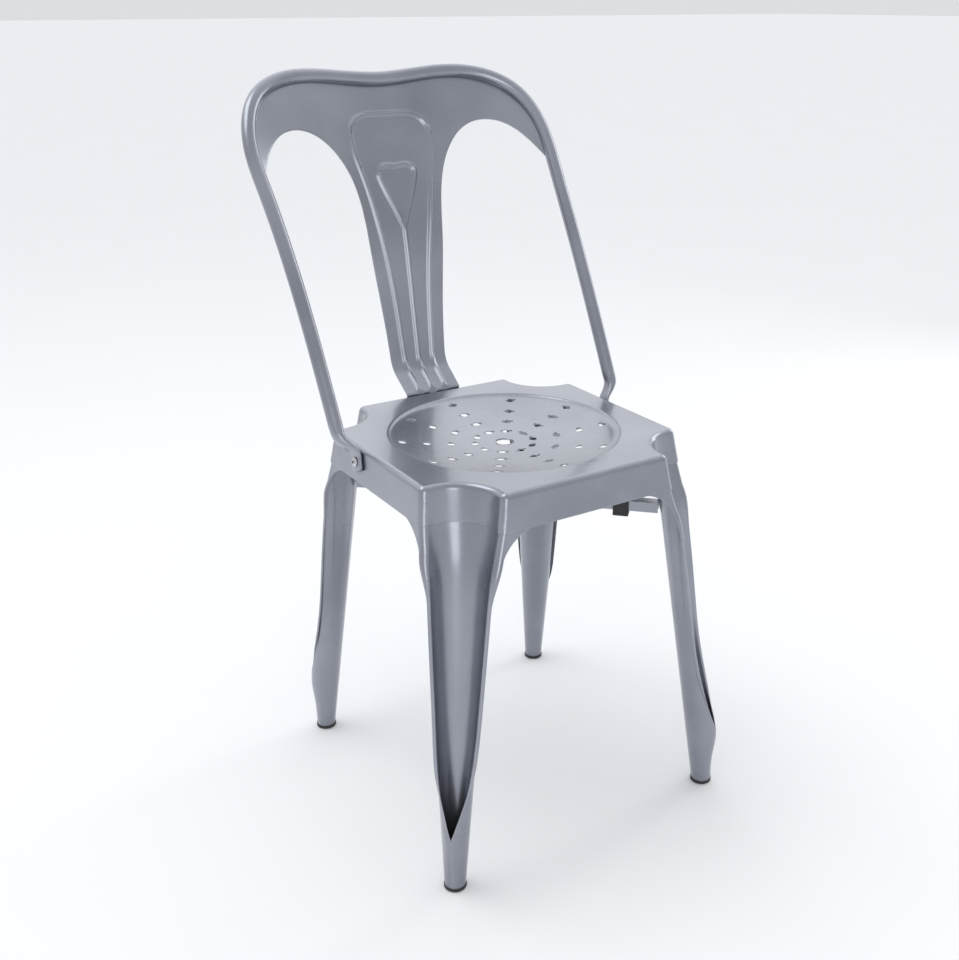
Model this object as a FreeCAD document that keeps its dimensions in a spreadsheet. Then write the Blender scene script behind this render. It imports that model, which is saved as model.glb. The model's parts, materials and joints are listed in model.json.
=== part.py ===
# Stacking side chair pressed and rolled from thin sheet steel, with a bent tube back.
# Frame: +Z up, the front of the seat faces -Y, all sizes in millimetres.
import FreeCAD, Part
import math
import os
import Sketcher

V = FreeCAD.Vector
doc = FreeCAD.newDocument("chair")
sheet = doc.addObject("Spreadsheet::Sheet", "Sizes")

SIZES = [
    # whole chair
    ("frame_shift", 49.4),
    ("seat_height", 450),
    ("sheet_thick", 1.2),
    ("fit_gap", 0.2),
    # seat pan
    ("seat_half", 165),
    ("apron_depth", 39),
    ("apron_draft", 8.75),
    ("notch_reach", 154.9),
    ("notch_radius", 50),
    ("ridge_round", 8),
    ("edge_round", 7),
    ("dish_rim", 134),
    ("dish_lip_round", 6),
    ("dish_wall_length", 2),
    ("dish_lip_slope", 40),
    ("dish_edge_slope", 11.3),
    ("hole_radius", 4.2),
    ("hole_first", 34),
    ("hole_pitch", 28),
    ("hole_rows", 4),
    ("hole_spokes", 10),
    ("drain_radius", 9),
    # legs: a reach is measured from the chair's middle out along the corner's diagonal
    ("leg_top", 437),
    ("gusset_length", 36),
    ("gusset_drop", 28),
    ("gusset_z", 381),
    ("knee_z", 366),
    ("knee_reach", 184.5),
    ("knee_radius", 32),
    ("foot_z", 4),
    ("foot_reach", 244.2),
    ("foot_radius", 10.8),
    ("rear_foot_reach", 242.3),
    ("rear_foot_turn", 12.7),
    ("mouth_knee_reach", 209.5),
    ("mouth_shin_z", 210),
    ("mouth_shin_reach", 232),
    ("mouth_ankle_z", 105),
    ("mouth_ankle_reach", 256.8),
    ("vee_z", 60),
    ("vee_reach", 269),
    # foot caps
    ("cap_rim_radius", 12.8),
    ("cap_rim_height", 4),
    ("cap_plug_radius", 9.9),
    ("cap_plug_height", 10),
    ("cap_chamfer", 0.8),
    # back hoop: places along the middle of the tube, from the kink above the apron round to the middle of the top
    ("tube_radius", 8),
    ("kink_x", 185.2),
    ("kink_y", 47),
    ("kink_z", 467),
    ("side_x", 186.6),
    ("side_y", 121.9),
    ("side_z", 608),
    ("flank_x", 191.5),
    ("flank_y", 183.5),
    ("flank_z", 705),
    ("shoulder_x", 192.5),
    ("shoulder_y", 208),
    ("shoulder_z", 740),
    ("corner_x", 170),
    ("corner_y", 246),
    ("corner_z", 789.5),
    ("crown_x", 117),
    ("crown_y", 275.5),
    ("crown_z", 810),
    ("rail_y", 283.5),
    ("rail_z", 805),
    ("tab_width", 21),
    ("tab_thick", 4.6),
    ("tab_above", 13.5),
    ("tab_below", 10.5),
    ("tab_corner", 4),
    ("hoop_lean", 22),
    ("hoop_bolt_y", 34),
    ("hoop_bolt_z", 434),
    # back panel
    ("panel_foot_z", 424),
    ("panel_fold_round", 2.5),
    ("panel_slope", 35),
    ("panel_slope_length", 30),
    ("panel_bend_radius", 29),
    ("panel_upright", 81.7),
    ("panel_straight_top", 600),
    ("panel_curve_radius", 640),
    ("panel_hollow", 60),
    ("panel_hollow_z", 700),
    ("panel_hollow_x", 190),
    ("panel_hollow_fade", 0.26),
    ("hollow_start_z", 520),
    # the panel's edge from its foot, round the waist, to the tip of the wing
    ("edge_x_1", 36.5),
    ("edge_z_1", 424),
    ("edge_x_2", 41),
    ("edge_z_2", 530),
    ("edge_x_3", 50),
    ("edge_z_3", 625),
    ("edge_x_4", 64),
    ("edge_z_4", 708),
    ("edge_x_5", 80),
    ("edge_z_5", 734),
    ("edge_x_6", 101),
    ("edge_z_6", 751),
    ("edge_x_7", 126),
    ("edge_z_7", 757),
    ("edge_x_8", 151),
    ("edge_z_8", 751),
    ("edge_x_9", 170),
    ("edge_z_9", 735),
    ("edge_x_10", 186),
    ("edge_z_10", 712),
    # the panel's raised ribs: the outer one, the triangular eye inside it, and the straight one below the eye
    ("rib_half_width", 3.2),
    ("rib_height", 1.5),
    ("rib_x_1", 19),
    ("rib_z_1", 466),
    ("rib_x_2", 22),
    ("rib_z_2", 530),
    ("rib_x_3", 27),
    ("rib_z_3", 590),
    ("rib_x_4", 36),
    ("rib_z_4", 650),
    ("rib_x_5", 47),
    ("rib_z_5", 705),
    ("rib_x_6", 53),
    ("rib_z_6", 738),
    ("rib_x_7", 50),
    ("rib_z_7", 755),
    ("rib_x_8", 38),
    ("rib_z_8", 764),
    ("rib_x_9", 0),
    ("rib_z_9", 766.5),
    ("eye_x_1", 4.6),
    ("eye_z_1", 649.5),
    ("eye_x_2", 12),
    ("eye_z_2", 668),
    ("eye_x_3", 24),
    ("eye_z_3", 698),
    ("eye_x_4", 22),
    ("eye_z_4", 708),
    ("eye_x_5", 0),
    ("eye_z_5", 710.5),
    ("straight_rib_top", 650),
    ("straight_rib_foot", 464),
    ("panel_bolt_x", 20),
    ("panel_bolt_z", 433),
    # braces under the seat
    ("bar_width", 14),
    ("bar_height", 12),
    ("bar_thick", 1.5),
    ("bar_reach", 180.4),
    ("upper_bar_top", 377),
    ("lower_bar_top", 375),
    ("lap_z", 370.1),
    ("rivet_radius", 2.5),
    ("rivet_head_radius", 4.5),
    ("rivet_head_height", 1.8),
    # stacking pads
    ("pad_length", 18),
    ("pad_width", 20),
    ("pad_below", 6),
    ("pad_above", 1.5),
    ("pad_reach", 138),
    ("pad_round", 2),
    # fasteners
    ("bolt_radius", 3),
    ("bolt_head_radius", 5.5),
    ("bolt_head_height", 3),
    ("tab_hole_radius", 3.2),
    ("apron_hole_radius", 3.4),
    ("nut_flats", 10),
    ("nut_height", 5),
    ("bolt_tail", 1.5),
]

for row, (name, value) in enumerate(SIZES, start=1):
    sheet.set("A%d" % row, name)
    sheet.set("B%d" % row, str(value))
    sheet.setAlias("B%d" % row, name)
doc.recompute()

SIDES = ((-1, "left"), (1, "right"))
NO_TURN = FreeCAD.Rotation()
HOOP_PLACES = ("kink", "side", "flank", "shoulder", "corner", "crown")
EDGE_STEPS = 10
OUTER_RIB_PLACES = 9
INNER_RIB_PLACES = 5


def size(name):
    return float(getattr(sheet, name))


def new_body(name):
    body = doc.addObject("PartDesign::Body", name)
    body.Label = name
    return body


def origin_plane(body, role):
    return [item for item in body.Origin.OriginFeatures if item.Role == role][0]


def new_sketch(body, name, role, lift=0.0):
    sketch = body.newObject("Sketcher::SketchObject", name)
    sketch.AttachmentSupport = (origin_plane(body, role), "")
    sketch.MapMode = "FlatFace"
    sketch.AttachmentOffset = FreeCAD.Placement(V(0, 0, lift), FreeCAD.Rotation())
    return sketch


def bind(sketch, constraint, expression):
    index = sketch.addConstraint(constraint)
    sketch.renameConstraint(index, "size%d" % index)
    sketch.setExpression("Constraints.size%d" % index, expression)


def draw_circle(sketch, radius, across="0", along="0"):
    item = sketch.addGeometry(Part.Circle(V(1, 1, 0), V(0, 0, 1), 5), False)
    bind(sketch, Sketcher.Constraint("Radius", item, 5), radius)
    bind(sketch, Sketcher.Constraint("DistanceX", -1, 1, item, 3, 1), across)
    bind(sketch, Sketcher.Constraint("DistanceY", -1, 1, item, 3, 1), along)
    return item


def draw_box(sketch, half_across, half_along):
    corners = [V(-9, -9, 0), V(9, -9, 0), V(9, 9, 0), V(-9, 9, 0)]
    first = None
    for index in range(4):
        line = Part.LineSegment(corners[index], corners[(index + 1) % 4])
        item = sketch.addGeometry(line, False)
        first = item if first is None else first
    for index in range(4):
        sketch.addConstraint(Sketcher.Constraint("Coincident", first + index, 2, first + (index + 1) % 4, 1))
    sketch.addConstraint(Sketcher.Constraint("Horizontal", first))
    sketch.addConstraint(Sketcher.Constraint("Vertical", first + 1))
    sketch.addConstraint(Sketcher.Constraint("Horizontal", first + 2))
    sketch.addConstraint(Sketcher.Constraint("Vertical", first + 3))
    bind(sketch, Sketcher.Constraint("DistanceX", -1, 1, first + 1, 1, 9), half_across)
    bind(sketch, Sketcher.Constraint("DistanceX", first, 1, -1, 1, 9), half_across)
    bind(sketch, Sketcher.Constraint("DistanceY", -1, 1, first + 2, 1, 9), half_along)
    bind(sketch, Sketcher.Constraint("DistanceY", first + 1, 1, -1, 1, 9), half_along)


def ring_of(body, features, axis_sketch, count, name):
    ring = body.newObject("PartDesign::PolarPattern", name)
    ring.Originals = features
    ring.Axis = (axis_sketch, ["N_Axis"])
    ring.Angle = 360
    ring.setExpression("Occurrences", count)
    body.Tip = ring
    doc.recompute()
    return ring


def sheet_section(sketch, start, moves, thick):
    # Draws a bent sheet in section: its upper skin, and its lower skin one sheet below.
    # A move is a length, a bend radius and a turn in degrees, upwards positive. A turn of no radius is a crease.
    up = V(0, 1, 0)
    here = start
    heading = 0.0
    below = start - up * thick
    sketch.addGeometry(Part.LineSegment(here, below), False)
    for length, radius, turn in moves:
        turn = math.radians(turn)
        along = V(math.cos(heading), math.sin(heading), 0)
        normal = V(-math.sin(heading), math.cos(heading), 0)
        if length:
            sketch.addGeometry(Part.LineSegment(here, here + along * length), False)
            sketch.addGeometry(Part.LineSegment(below, below + along * length), False)
            here = here + along * length
            below = below + along * length
        elif radius:
            side = 1 if turn > 0 else -1
            centre = here + normal * radius * side
            first = heading - side * math.pi / 2
            last = first + turn
            end = V(math.cos(last), math.sin(last), 0)
            for skin in (radius, radius + side * thick):
                circle = Part.Circle(centre, V(0, 0, 1), skin)
                sketch.addGeometry(Part.ArcOfCircle(circle, min(first, last), max(first, last)), False)
            here = centre + end * radius
            below = centre + end * (radius + side * thick)
            heading += turn
        else:
            heading += turn
            corner = here - V(-math.sin(heading), math.cos(heading), 0) * thick
            sketch.addGeometry(Part.LineSegment(below, corner), False)
            below = corner
    sketch.addGeometry(Part.LineSegment(here, below), False)


def seat_pan():
    body = new_body("seat_pan")
    outline = new_sketch(body, "seat_outline", "XY_Plane")
    outline.setExpression("AttachmentOffset.Base.z", "Sizes.seat_height")
    draw_box(outline, "Sizes.seat_half", "Sizes.seat_half")
    doc.recompute()
    block = body.newObject("PartDesign::Pad", "seat_block")
    block.Profile = outline
    block.Reversed = True
    block.setExpression("Length", "Sizes.apron_depth")
    block.setExpression("TaperAngle", "Sizes.apron_draft")
    doc.recompute()
    corner = new_sketch(body, "notch_circle", "XY_Plane")
    corner.setExpression("AttachmentOffset.Base.z", "Sizes.seat_height")
    draw_circle(corner, "Sizes.notch_radius", "Sizes.notch_reach", "Sizes.notch_reach")
    doc.recompute()
    notch = body.newObject("PartDesign::Pocket", "corner_notch")
    notch.Profile = corner
    notch.setExpression("Length", "Sizes.apron_depth + 1")
    notch.setExpression("TaperAngle", "-Sizes.apron_draft")
    doc.recompute()
    notches = ring_of(body, [notch], corner, "4", "corner_notches")
    # The eight upright ridges are the edges between a flat side and a notch.
    ridges = []
    for number, edge in enumerate(notches.Shape.Edges, start=1):
        ends = [vertex.Point.z for vertex in edge.Vertexes]
        if abs(ends[0] - ends[-1]) > size("apron_depth") * 0.9:
            ridges.append("Edge%d" % number)
    ridge = body.newObject("PartDesign::Fillet", "ridge_rounds")
    ridge.Base = (notches, ridges)
    ridge.setExpression("Radius", "Sizes.ridge_round")
    body.Tip = ridge
    doc.recompute()
    rim = []
    for number, edge in enumerate(ridge.Shape.Edges, start=1):
        if edge.BoundBox.ZMin > size("seat_height") - 0.01:
            rim.append("Edge%d" % number)
    edge_round = body.newObject("PartDesign::Fillet", "top_edge_round")
    edge_round.Base = (ridge, rim)
    edge_round.setExpression("Radius", "Sizes.edge_round")
    body.Tip = edge_round
    doc.recompute()
    low = [("Face%d" % number) for number, face in enumerate(edge_round.Shape.Faces, start=1)
           if face.BoundBox.ZMax < size("seat_height") - size("apron_depth") + 0.01]
    shell = body.newObject("PartDesign::Thickness", "pressed_sheet")
    shell.Base = (edge_round, low)
    shell.Reversed = True
    shell.setExpression("Value", "Sizes.sheet_thick")
    body.Tip = shell
    doc.recompute()
    mouth = new_sketch(body, "dish_mouth", "XY_Plane")
    mouth.setExpression("AttachmentOffset.Base.z", "Sizes.seat_height")
    draw_circle(mouth, "Sizes.dish_rim")
    opening = body.newObject("PartDesign::Pocket", "dish_opening")
    opening.Profile = mouth
    opening.setExpression("Length", "Sizes.apron_depth / 2")
    doc.recompute()
    section = new_sketch(body, "dish_section", "XZ_Plane")
    # The dish is a shallow bowl: it ends in a short steep wall that turns over into the flat seat.
    floor_z, bowl_radius = bowl()
    edge_slope = size("dish_edge_slope")
    moves = [
        (0, bowl_radius, edge_slope),
        (0, 0, size("dish_lip_slope") - edge_slope),
        (size("dish_wall_length"), 0, 0),
        (0, size("dish_lip_round"), -size("dish_lip_slope")),
    ]
    sheet_section(section, V(0, floor_z, 0), moves, size("sheet_thick"))
    doc.recompute()
    dish = body.newObject("PartDesign::Revolution", "dish")
    dish.Profile = section
    dish.ReferenceAxis = (section, ["V_Axis"])
    dish.Angle = 360
    body.Tip = dish
    doc.recompute()
    drain = new_sketch(body, "drain_circle", "XY_Plane")
    draw_circle(drain, "Sizes.drain_radius")
    drain_cut = body.newObject("PartDesign::Pocket", "drain_hole")
    drain_cut.Profile = drain
    drain_cut.Reversed = True
    drain_cut.setExpression("Length", "Sizes.seat_height")
    doc.recompute()
    spoke = []
    for row in range(int(size("hole_rows"))):
        # Each hole is square to the bowl, so its axis passes through the middle of the bowl's ball.
        tilt = math.asin((size("hole_first") + row * size("hole_pitch")) / bowl_radius)
        hole = body.newObject("PartDesign::SubtractiveCylinder", "spoke_hole%d" % (row + 1))
        hole.setExpression("Radius", "Sizes.hole_radius")
        depth = size("edge_round")
        hole.Height = 2 * depth
        reach = bowl_radius + depth
        foot = V(0, reach * math.sin(tilt), floor_z + bowl_radius - reach * math.cos(tilt))
        hole.Placement = FreeCAD.Placement(foot, FreeCAD.Rotation(V(1, 0, 0), math.degrees(tilt)))
        spoke.append(hole)
    doc.recompute()
    ring_of(body, spoke, drain, "Sizes.hole_spokes", "hole_spokes")
    for name, place in (("hoop_hole", hoop_bolt_place), ("panel_hole", panel_bolt_place)):
        for side, hand in SIDES:
            hole = body.newObject("PartDesign::SubtractiveCylinder", "%s_%s" % (name, hand))
            hole.setExpression("Radius", "Sizes.apron_hole_radius")
            hole.setExpression("Height", "Sizes.sheet_thick * 4")
            spot = place(side)
            back = V(0, 0, -2 * size("sheet_thick"))
            hole.Placement = FreeCAD.Placement(spot.multVec(back), spot.Rotation)
    doc.recompute()
    body.Placement = FreeCAD.Placement(chair_shift(), FreeCAD.Rotation())
    return body


def bowl():
    # Height of the dish's lowest point, and the radius of the ball that the dish is part of.
    lip = math.radians(size("dish_lip_slope"))
    edge = math.radians(size("dish_edge_slope"))
    run = size("dish_wall_length") * math.cos(lip) + size("dish_lip_round") * math.sin(lip)
    rise = size("dish_wall_length") * math.sin(lip) + size("dish_lip_round") * (1 - math.cos(lip))
    radius = (size("dish_rim") - run) / math.sin(edge)
    return size("seat_height") - rise - radius * (1 - math.cos(edge)), radius


def chair_shift():
    # The seat's middle stands in front of the middle of the whole chair.
    return V(0, -size("frame_shift"), 0)


def apron_place(direction, across, height):
    # A frame on the apron's outer face: its Z points straight out of the face, its Y up along it.
    turn = FreeCAD.Rotation(V(0, 0, 1), direction)
    reach = size("seat_half") + apron_flare(height)
    draft = size("apron_draft")
    tilt = FreeCAD.Rotation(V(1, 0, 0), 90 - draft)
    upright = FreeCAD.Rotation(V(0, 0, 1), 90)
    return FreeCAD.Placement(turn.multVec(V(reach, across, height)), turn.multiply(upright.multiply(tilt)))


def hoop_bolt_place(side):
    return apron_place(0 if side > 0 else 180, side * size("hoop_bolt_y"), size("hoop_bolt_z"))


def panel_bolt_place(side):
    return apron_place(90, -side * size("panel_bolt_x"), size("panel_bolt_z"))


def apron_flare(height):
    # How far the drafted apron stands outside the seat's top outline at a height.
    return (size("seat_height") - height) * math.tan(math.radians(size("apron_draft")))


def apron_inset():
    # From the apron's outer face to the face of what is tucked under it.
    return size("sheet_thick") / math.cos(math.radians(size("apron_draft"))) + size("fit_gap")


def trough_at(height):
    # Middle, along the corner's diagonal, and radius of the leg's visible face above the knee.
    hub = size("notch_reach") * math.sqrt(2)
    seam_z = size("seat_height") - size("apron_depth")
    if height >= seam_z:
        return hub, size("notch_radius") - apron_flare(height) + apron_inset()
    share = (seam_z - height) / (seam_z - size("knee_z"))
    seam_radius = size("notch_radius") - apron_flare(seam_z) + apron_inset()
    knee_middle = size("knee_reach") + size("knee_radius")
    return hub + (knee_middle - hub) * share, seam_radius + (size("knee_radius") - seam_radius) * share


def ridge_at(height):
    # The bend between the trough and the flat flange: its middle, and the angle where the trough ends.
    hub, radius = trough_at(height)
    bend = size("ridge_round") - apron_inset()
    base = math.sqrt(2) * (size("seat_half") + apron_flare(height) - apron_inset() - bend)
    spread = (hub + base) ** 2 - 2 * (hub ** 2 + base ** 2 - (radius + bend) ** 2)
    pivot_reach = (hub + base - math.sqrt(spread)) / 2
    pivot = V(pivot_reach, base - pivot_reach, height)
    return pivot, bend, math.atan2(pivot.y, hub - pivot.x)


def leg_head_section(height):
    # Trough, two bends and two flanges at one level, as one closed line.
    hub, radius = trough_at(height)
    pivot, bend, opening = ridge_at(height)
    thick = size("sheet_thick")
    away = V(-math.cos(opening), math.sin(opening), 0)
    flat = V(math.sqrt(0.5), math.sqrt(0.5), 0)
    middle = (flat - away).normalize()
    along = V(-math.sqrt(0.5), math.sqrt(0.5), 0) * size("gusset_length")
    mirror = lambda point: V(point.x, -point.y, point.z)
    skins = []
    for extra in (0, thick):
        here = bend - extra
        chain = [pivot + flat * here + along, pivot + flat * here, pivot + middle * here, pivot - away * here]
        floor = V(hub - radius - extra, 0, height)
        edges = []
        edges.append(Part.LineSegment(chain[0], chain[1]).toShape())
        edges.append(Part.Arc(chain[1], chain[2], chain[3]).toShape())
        edges.append(Part.Arc(chain[3], floor, mirror(chain[3])).toShape())
        edges.append(Part.Arc(mirror(chain[3]), mirror(chain[2]), mirror(chain[1])).toShape())
        edges.append(Part.LineSegment(mirror(chain[1]), mirror(chain[0])).toShape())
        skins.append((edges, chain[0]))
    front, back = skins
    ends = [Part.LineSegment(mirror(front[1]), mirror(back[1])).toShape()]
    ends.append(Part.LineSegment(back[1], front[1]).toShape())
    return Part.Wire(front[0] + [ends[0]] + back[0][::-1] + [ends[1]])


def foot_spot(corner):
    # Where a leg's foot stands in the leg's own frame. The rear feet are turned a little towards the back.
    turn = {0: 1, 1: -1}.get(corner, 0) * size("rear_foot_turn")
    reach = size("foot_reach") if turn == 0 else size("rear_foot_reach")
    return V(reach + size("foot_radius"), turn, 0)


def leg_tube(extra, corner):
    # The closed tube below the leg's head: a right cone down to the foot, and a short flare above the knee.
    knee = V(size("knee_reach") + size("knee_radius"), 0, size("knee_z"))
    foot = foot_spot(corner) + V(0, 0, size("foot_z"))
    axis = foot - knee
    shrink = (size("knee_radius") - size("foot_radius")) / axis.Length
    margin = size("knee_radius")
    start = knee - V(axis).normalize() * margin
    end = foot + V(axis).normalize() * margin / 2
    cone = Part.makeCone(
        size("knee_radius") + margin * shrink + extra,
        size("foot_radius") - margin * shrink / 2 + extra,
        (end - start).Length,
        start,
        axis,
    )
    room = size("notch_reach") * 4
    slab = Part.makeBox(room, room, size("knee_z") - size("foot_z"), V(0, -room / 2, size("foot_z")))
    shin = cone.common(slab)
    top = [face for face in shin.Faces if face.BoundBox.ZMin > size("knee_z") - 0.01][0]
    middle, radius = trough_at(size("gusset_z"))
    rim = Part.Wire(Part.makeCircle(radius + extra, V(middle, 0, size("gusset_z"))))
    flare = Part.makeLoft([rim, top.OuterWire], True, True)
    return shin.fuse(flare)


def leg_mouth():
    # The opening on the leg's outer side, seen from the side: it closes in a vee above the foot.
    pivot, bend, opening = ridge_at(size("gusset_z"))
    line = [V(pivot.x + bend * math.cos(opening), 0, size("gusset_z"))]
    line.append(V(size("mouth_knee_reach"), 0, size("knee_z")))
    line.append(V(size("mouth_shin_reach"), 0, size("mouth_shin_z")))
    line.append(V(size("mouth_ankle_reach"), 0, size("mouth_ankle_z")))
    line.append(V(size("vee_reach"), 0, size("vee_z")))
    far = size("notch_reach") * 2
    line.append(V(far, 0, size("vee_z")))
    line.append(V(far, 0, size("gusset_z")))
    line.append(line[0])
    width = size("notch_radius") * 2
    face = Part.Face(Part.makePolygon(line))
    face.translate(V(0, -width / 2, 0))
    return face.extrude(V(0, width, 0))


def gusset_curve(side):
    # A round cutter that gives the flange its hollow lower edge, from the leg up to the apron's edge.
    reach = size("gusset_length")
    drop = size("gusset_drop")
    radius = (reach ** 2 + drop ** 2) / (2 * drop)
    pivot, bend, opening = ridge_at(size("gusset_z"))
    along = V(-math.sqrt(0.5), side * math.sqrt(0.5), 0)
    out = V(math.sqrt(0.5), side * math.sqrt(0.5), 0)
    seam_z = size("seat_height") - size("apron_depth")
    middle = V(pivot.x, side * pivot.y, seam_z - radius) + along * reach
    depth = size("ridge_round") * 2
    return Part.makeCylinder(radius, 2 * depth, middle - out * depth, out)


def rolled_leg(name, corner):
    seam_z = size("seat_height") - size("apron_depth")
    upper = Part.makeLoft([leg_head_section(size("leg_top")), leg_head_section(seam_z)], True, True)
    lower = Part.makeLoft([leg_head_section(seam_z), leg_head_section(size("gusset_z"))], True, True)
    head = upper.fuse(lower).cut([gusset_curve(1), gusset_curve(-1)])
    shaft = leg_tube(size("sheet_thick"), corner).cut(leg_tube(0, corner)).cut(leg_mouth())
    leg = doc.addObject("Part::Feature", name)
    leg.Label = name
    leg.Shape = head.fuse(shaft)
    leg.Placement = FreeCAD.Placement(chair_shift(), FreeCAD.Rotation(V(0, 0, 1), corner_turn(corner)))
    return leg


def corner_turn(corner):
    return 45 + 90 * corner


def revolved_body(name, outline):
    # A round body turned about its Z axis from points given as radius and height. A point marked as a dome starts
    # part of a ball, whose middle is on the axis and whose top is the next point.
    body = new_body(name)
    section = new_sketch(body, name + "_section", "XZ_Plane")
    count = len(outline)
    for index in range(count):
        start = outline[index]
        end = outline[(index + 1) % count]
        here = V(start[0], start[1], 0)
        there = V(end[0], end[1], 0)
        if len(start) > 2:
            middle = (there.y ** 2 - here.y ** 2 - here.x ** 2) / (2 * (there.y - here.y))
            angle = (math.atan2(here.y - middle, here.x) + math.pi / 2) / 2
            ball = there.y - middle
            halfway = V(ball * math.cos(angle), middle + ball * math.sin(angle), 0)
            section.addGeometry(Part.Arc(here, halfway, there), False)
        else:
            section.addGeometry(Part.LineSegment(here, there), False)
    doc.recompute()
    turned = body.newObject("PartDesign::Revolution", name + "_turned")
    turned.Profile = section
    turned.ReferenceAxis = (section, ["V_Axis"])
    turned.Angle = 360
    body.Tip = turned
    doc.recompute()
    return body


def foot_cap(name, corner):
    # A rubber cap: a rim that the leg's end stands on, and a plug inside the leg.
    rim = size("cap_rim_radius")
    chamfer = size("cap_chamfer")
    plug = size("cap_plug_radius")
    outline = [
        (0, 0),
        (rim - chamfer, 0),
        (rim, chamfer),
        (rim, size("cap_rim_height")),
        (plug, size("cap_rim_height")),
        (plug, size("cap_plug_height")),
        (0, size("cap_plug_height")),
    ]
    body = revolved_body(name, outline)
    turn = FreeCAD.Rotation(V(0, 0, 1), corner_turn(corner))
    body.Placement = FreeCAD.Placement(chair_shift() + turn.multVec(foot_spot(corner)), turn)
    return body


def bolt(name, place, grip):
    # A domed bolt: the place is on the face that its head sits on, Z pointing out.
    head = size("bolt_head_radius")
    shank = size("bolt_radius")
    height = size("bolt_head_height")
    length = grip + size("nut_height") + size("bolt_tail")
    outline = [(0, height), (0, -length), (shank, -length), (shank, 0), (head, 0), (head, height / 3, "dome")]
    body = revolved_body(name, outline)
    body.Placement = place
    return body


def nut(name, place):
    body = new_body(name)
    hexagon = new_sketch(body, name + "_hexagon", "XY_Plane")
    corner = size("nut_flats") / math.sqrt(3)
    points = [V(corner * math.cos(math.radians(60 * k)), corner * math.sin(math.radians(60 * k)), 0) for k in range(7)]
    for start, end in zip(points, points[1:]):
        hexagon.addGeometry(Part.LineSegment(start, end), False)
    draw_circle(hexagon, "Sizes.bolt_radius + Sizes.fit_gap / 2")
    doc.recompute()
    block = body.newObject("PartDesign::Pad", name + "_block")
    block.Profile = hexagon
    block.setExpression("Length", "Sizes.nut_height")
    body.Tip = block
    body.Placement = place
    return body


def fasten(name, hand, spot, over):
    # Bolt and nut through the apron, and through what the bolt's head clamps, which is "over" thick.
    gap = size("fit_gap")
    place = FreeCAD.Placement(spot.Base + chair_shift(), spot.Rotation)
    grip = over + size("sheet_thick") + 3 * gap
    bolt("%s_bolt_%s" % (name, hand), place.multiply(FreeCAD.Placement(V(0, 0, over + 2 * gap), NO_TURN)), grip)
    low = -size("sheet_thick") - gap - size("nut_height")
    nut("%s_nut_%s" % (name, hand), place.multiply(FreeCAD.Placement(V(0, 0, low), NO_TURN)))


def bar_section(sketch):
    # An upturned channel: flat on top, open below.
    half = size("bar_width") / 2
    thick = size("bar_thick")
    depth = size("bar_height")
    line = [(-half, 0), (half, 0), (half, -depth), (half - thick, -depth), (half - thick, -thick)]
    line += [(thick - half, -thick), (thick - half, -depth), (-half, -depth), (-half, 0)]
    for start, end in zip(line, line[1:]):
        sketch.addGeometry(Part.LineSegment(V(start[0], start[1], 0), V(end[0], end[1], 0)), False)


def brace_bar(name, top, turn, upper):
    # One bar of the cross. Where the bars cross, each gives up half its height.
    body = new_body(name)
    section = new_sketch(body, name + "_section", "YZ_Plane")
    section.setExpression("AttachmentOffset.Base.y", "Sizes." + top)
    bar_section(section)
    doc.recompute()
    channel = body.newObject("PartDesign::Pad", name + "_channel")
    channel.Profile = section
    channel.Midplane = True
    channel.setExpression("Length", "Sizes.bar_reach * 2")
    body.Tip = channel
    doc.recompute()
    lap = new_sketch(body, name + "_lap", "XY_Plane")
    half = "Sizes.bar_width / 2 + Sizes.fit_gap * 2"
    draw_box(lap, half, "Sizes.bar_width")
    if upper:
        lap.setExpression("AttachmentOffset.Base.z", "Sizes.lap_z")
    else:
        lap.setExpression("AttachmentOffset.Base.z", "Sizes.lap_z - Sizes.fit_gap")
    doc.recompute()
    cut = body.newObject("PartDesign::Pocket", name + "_lap_cut")
    cut.Profile = lap
    cut.Reversed = not upper
    cut.setExpression("Length", "Sizes.bar_height")
    body.Tip = cut
    doc.recompute()
    if not upper:
        # The lower bar's top is pressed down where the upper bar passes over it.
        web = new_sketch(body, name + "_web", "XY_Plane")
        draw_box(web, half, "Sizes.bar_width / 2")
        web.setExpression("AttachmentOffset.Base.z", "Sizes.lap_z - Sizes.fit_gap - Sizes.bar_thick")
        doc.recompute()
        plate = body.newObject("PartDesign::Pad", name + "_pressed_web")
        plate.Profile = web
        plate.setExpression("Length", "Sizes.bar_thick")
        body.Tip = plate
        doc.recompute()
    middle = new_sketch(body, name + "_rivet_circle", "XY_Plane")
    draw_circle(middle, "Sizes.rivet_radius + Sizes.fit_gap")
    doc.recompute()
    hole = body.newObject("PartDesign::Pocket", name + "_rivet_hole")
    hole.Profile = middle
    hole.Reversed = True
    hole.setExpression("Length", "Sizes.seat_height")
    body.Tip = hole
    doc.recompute()
    body.Placement = FreeCAD.Placement(chair_shift(), FreeCAD.Rotation(V(0, 0, 1), turn))
    return body


def brace_rivet():
    # Its heads hold the upper bar's top and the lower bar's pressed web together.
    gap = size("fit_gap")
    top = size("upper_bar_top") + gap
    low = size("lap_z") - 2 * gap - size("bar_thick")
    head = size("rivet_head_radius")
    height = size("rivet_head_height")
    shank = size("rivet_radius")
    outline = [
        (0, low - height),
        (head, low - height),
        (head, low),
        (shank, low),
        (shank, top),
        (head, top),
        (head, top + height / 3, "dome"),
        (0, top + height),
    ]
    body = revolved_body("brace_rivet", outline)
    body.Placement = FreeCAD.Placement(chair_shift(), FreeCAD.Rotation())
    return body


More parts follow.
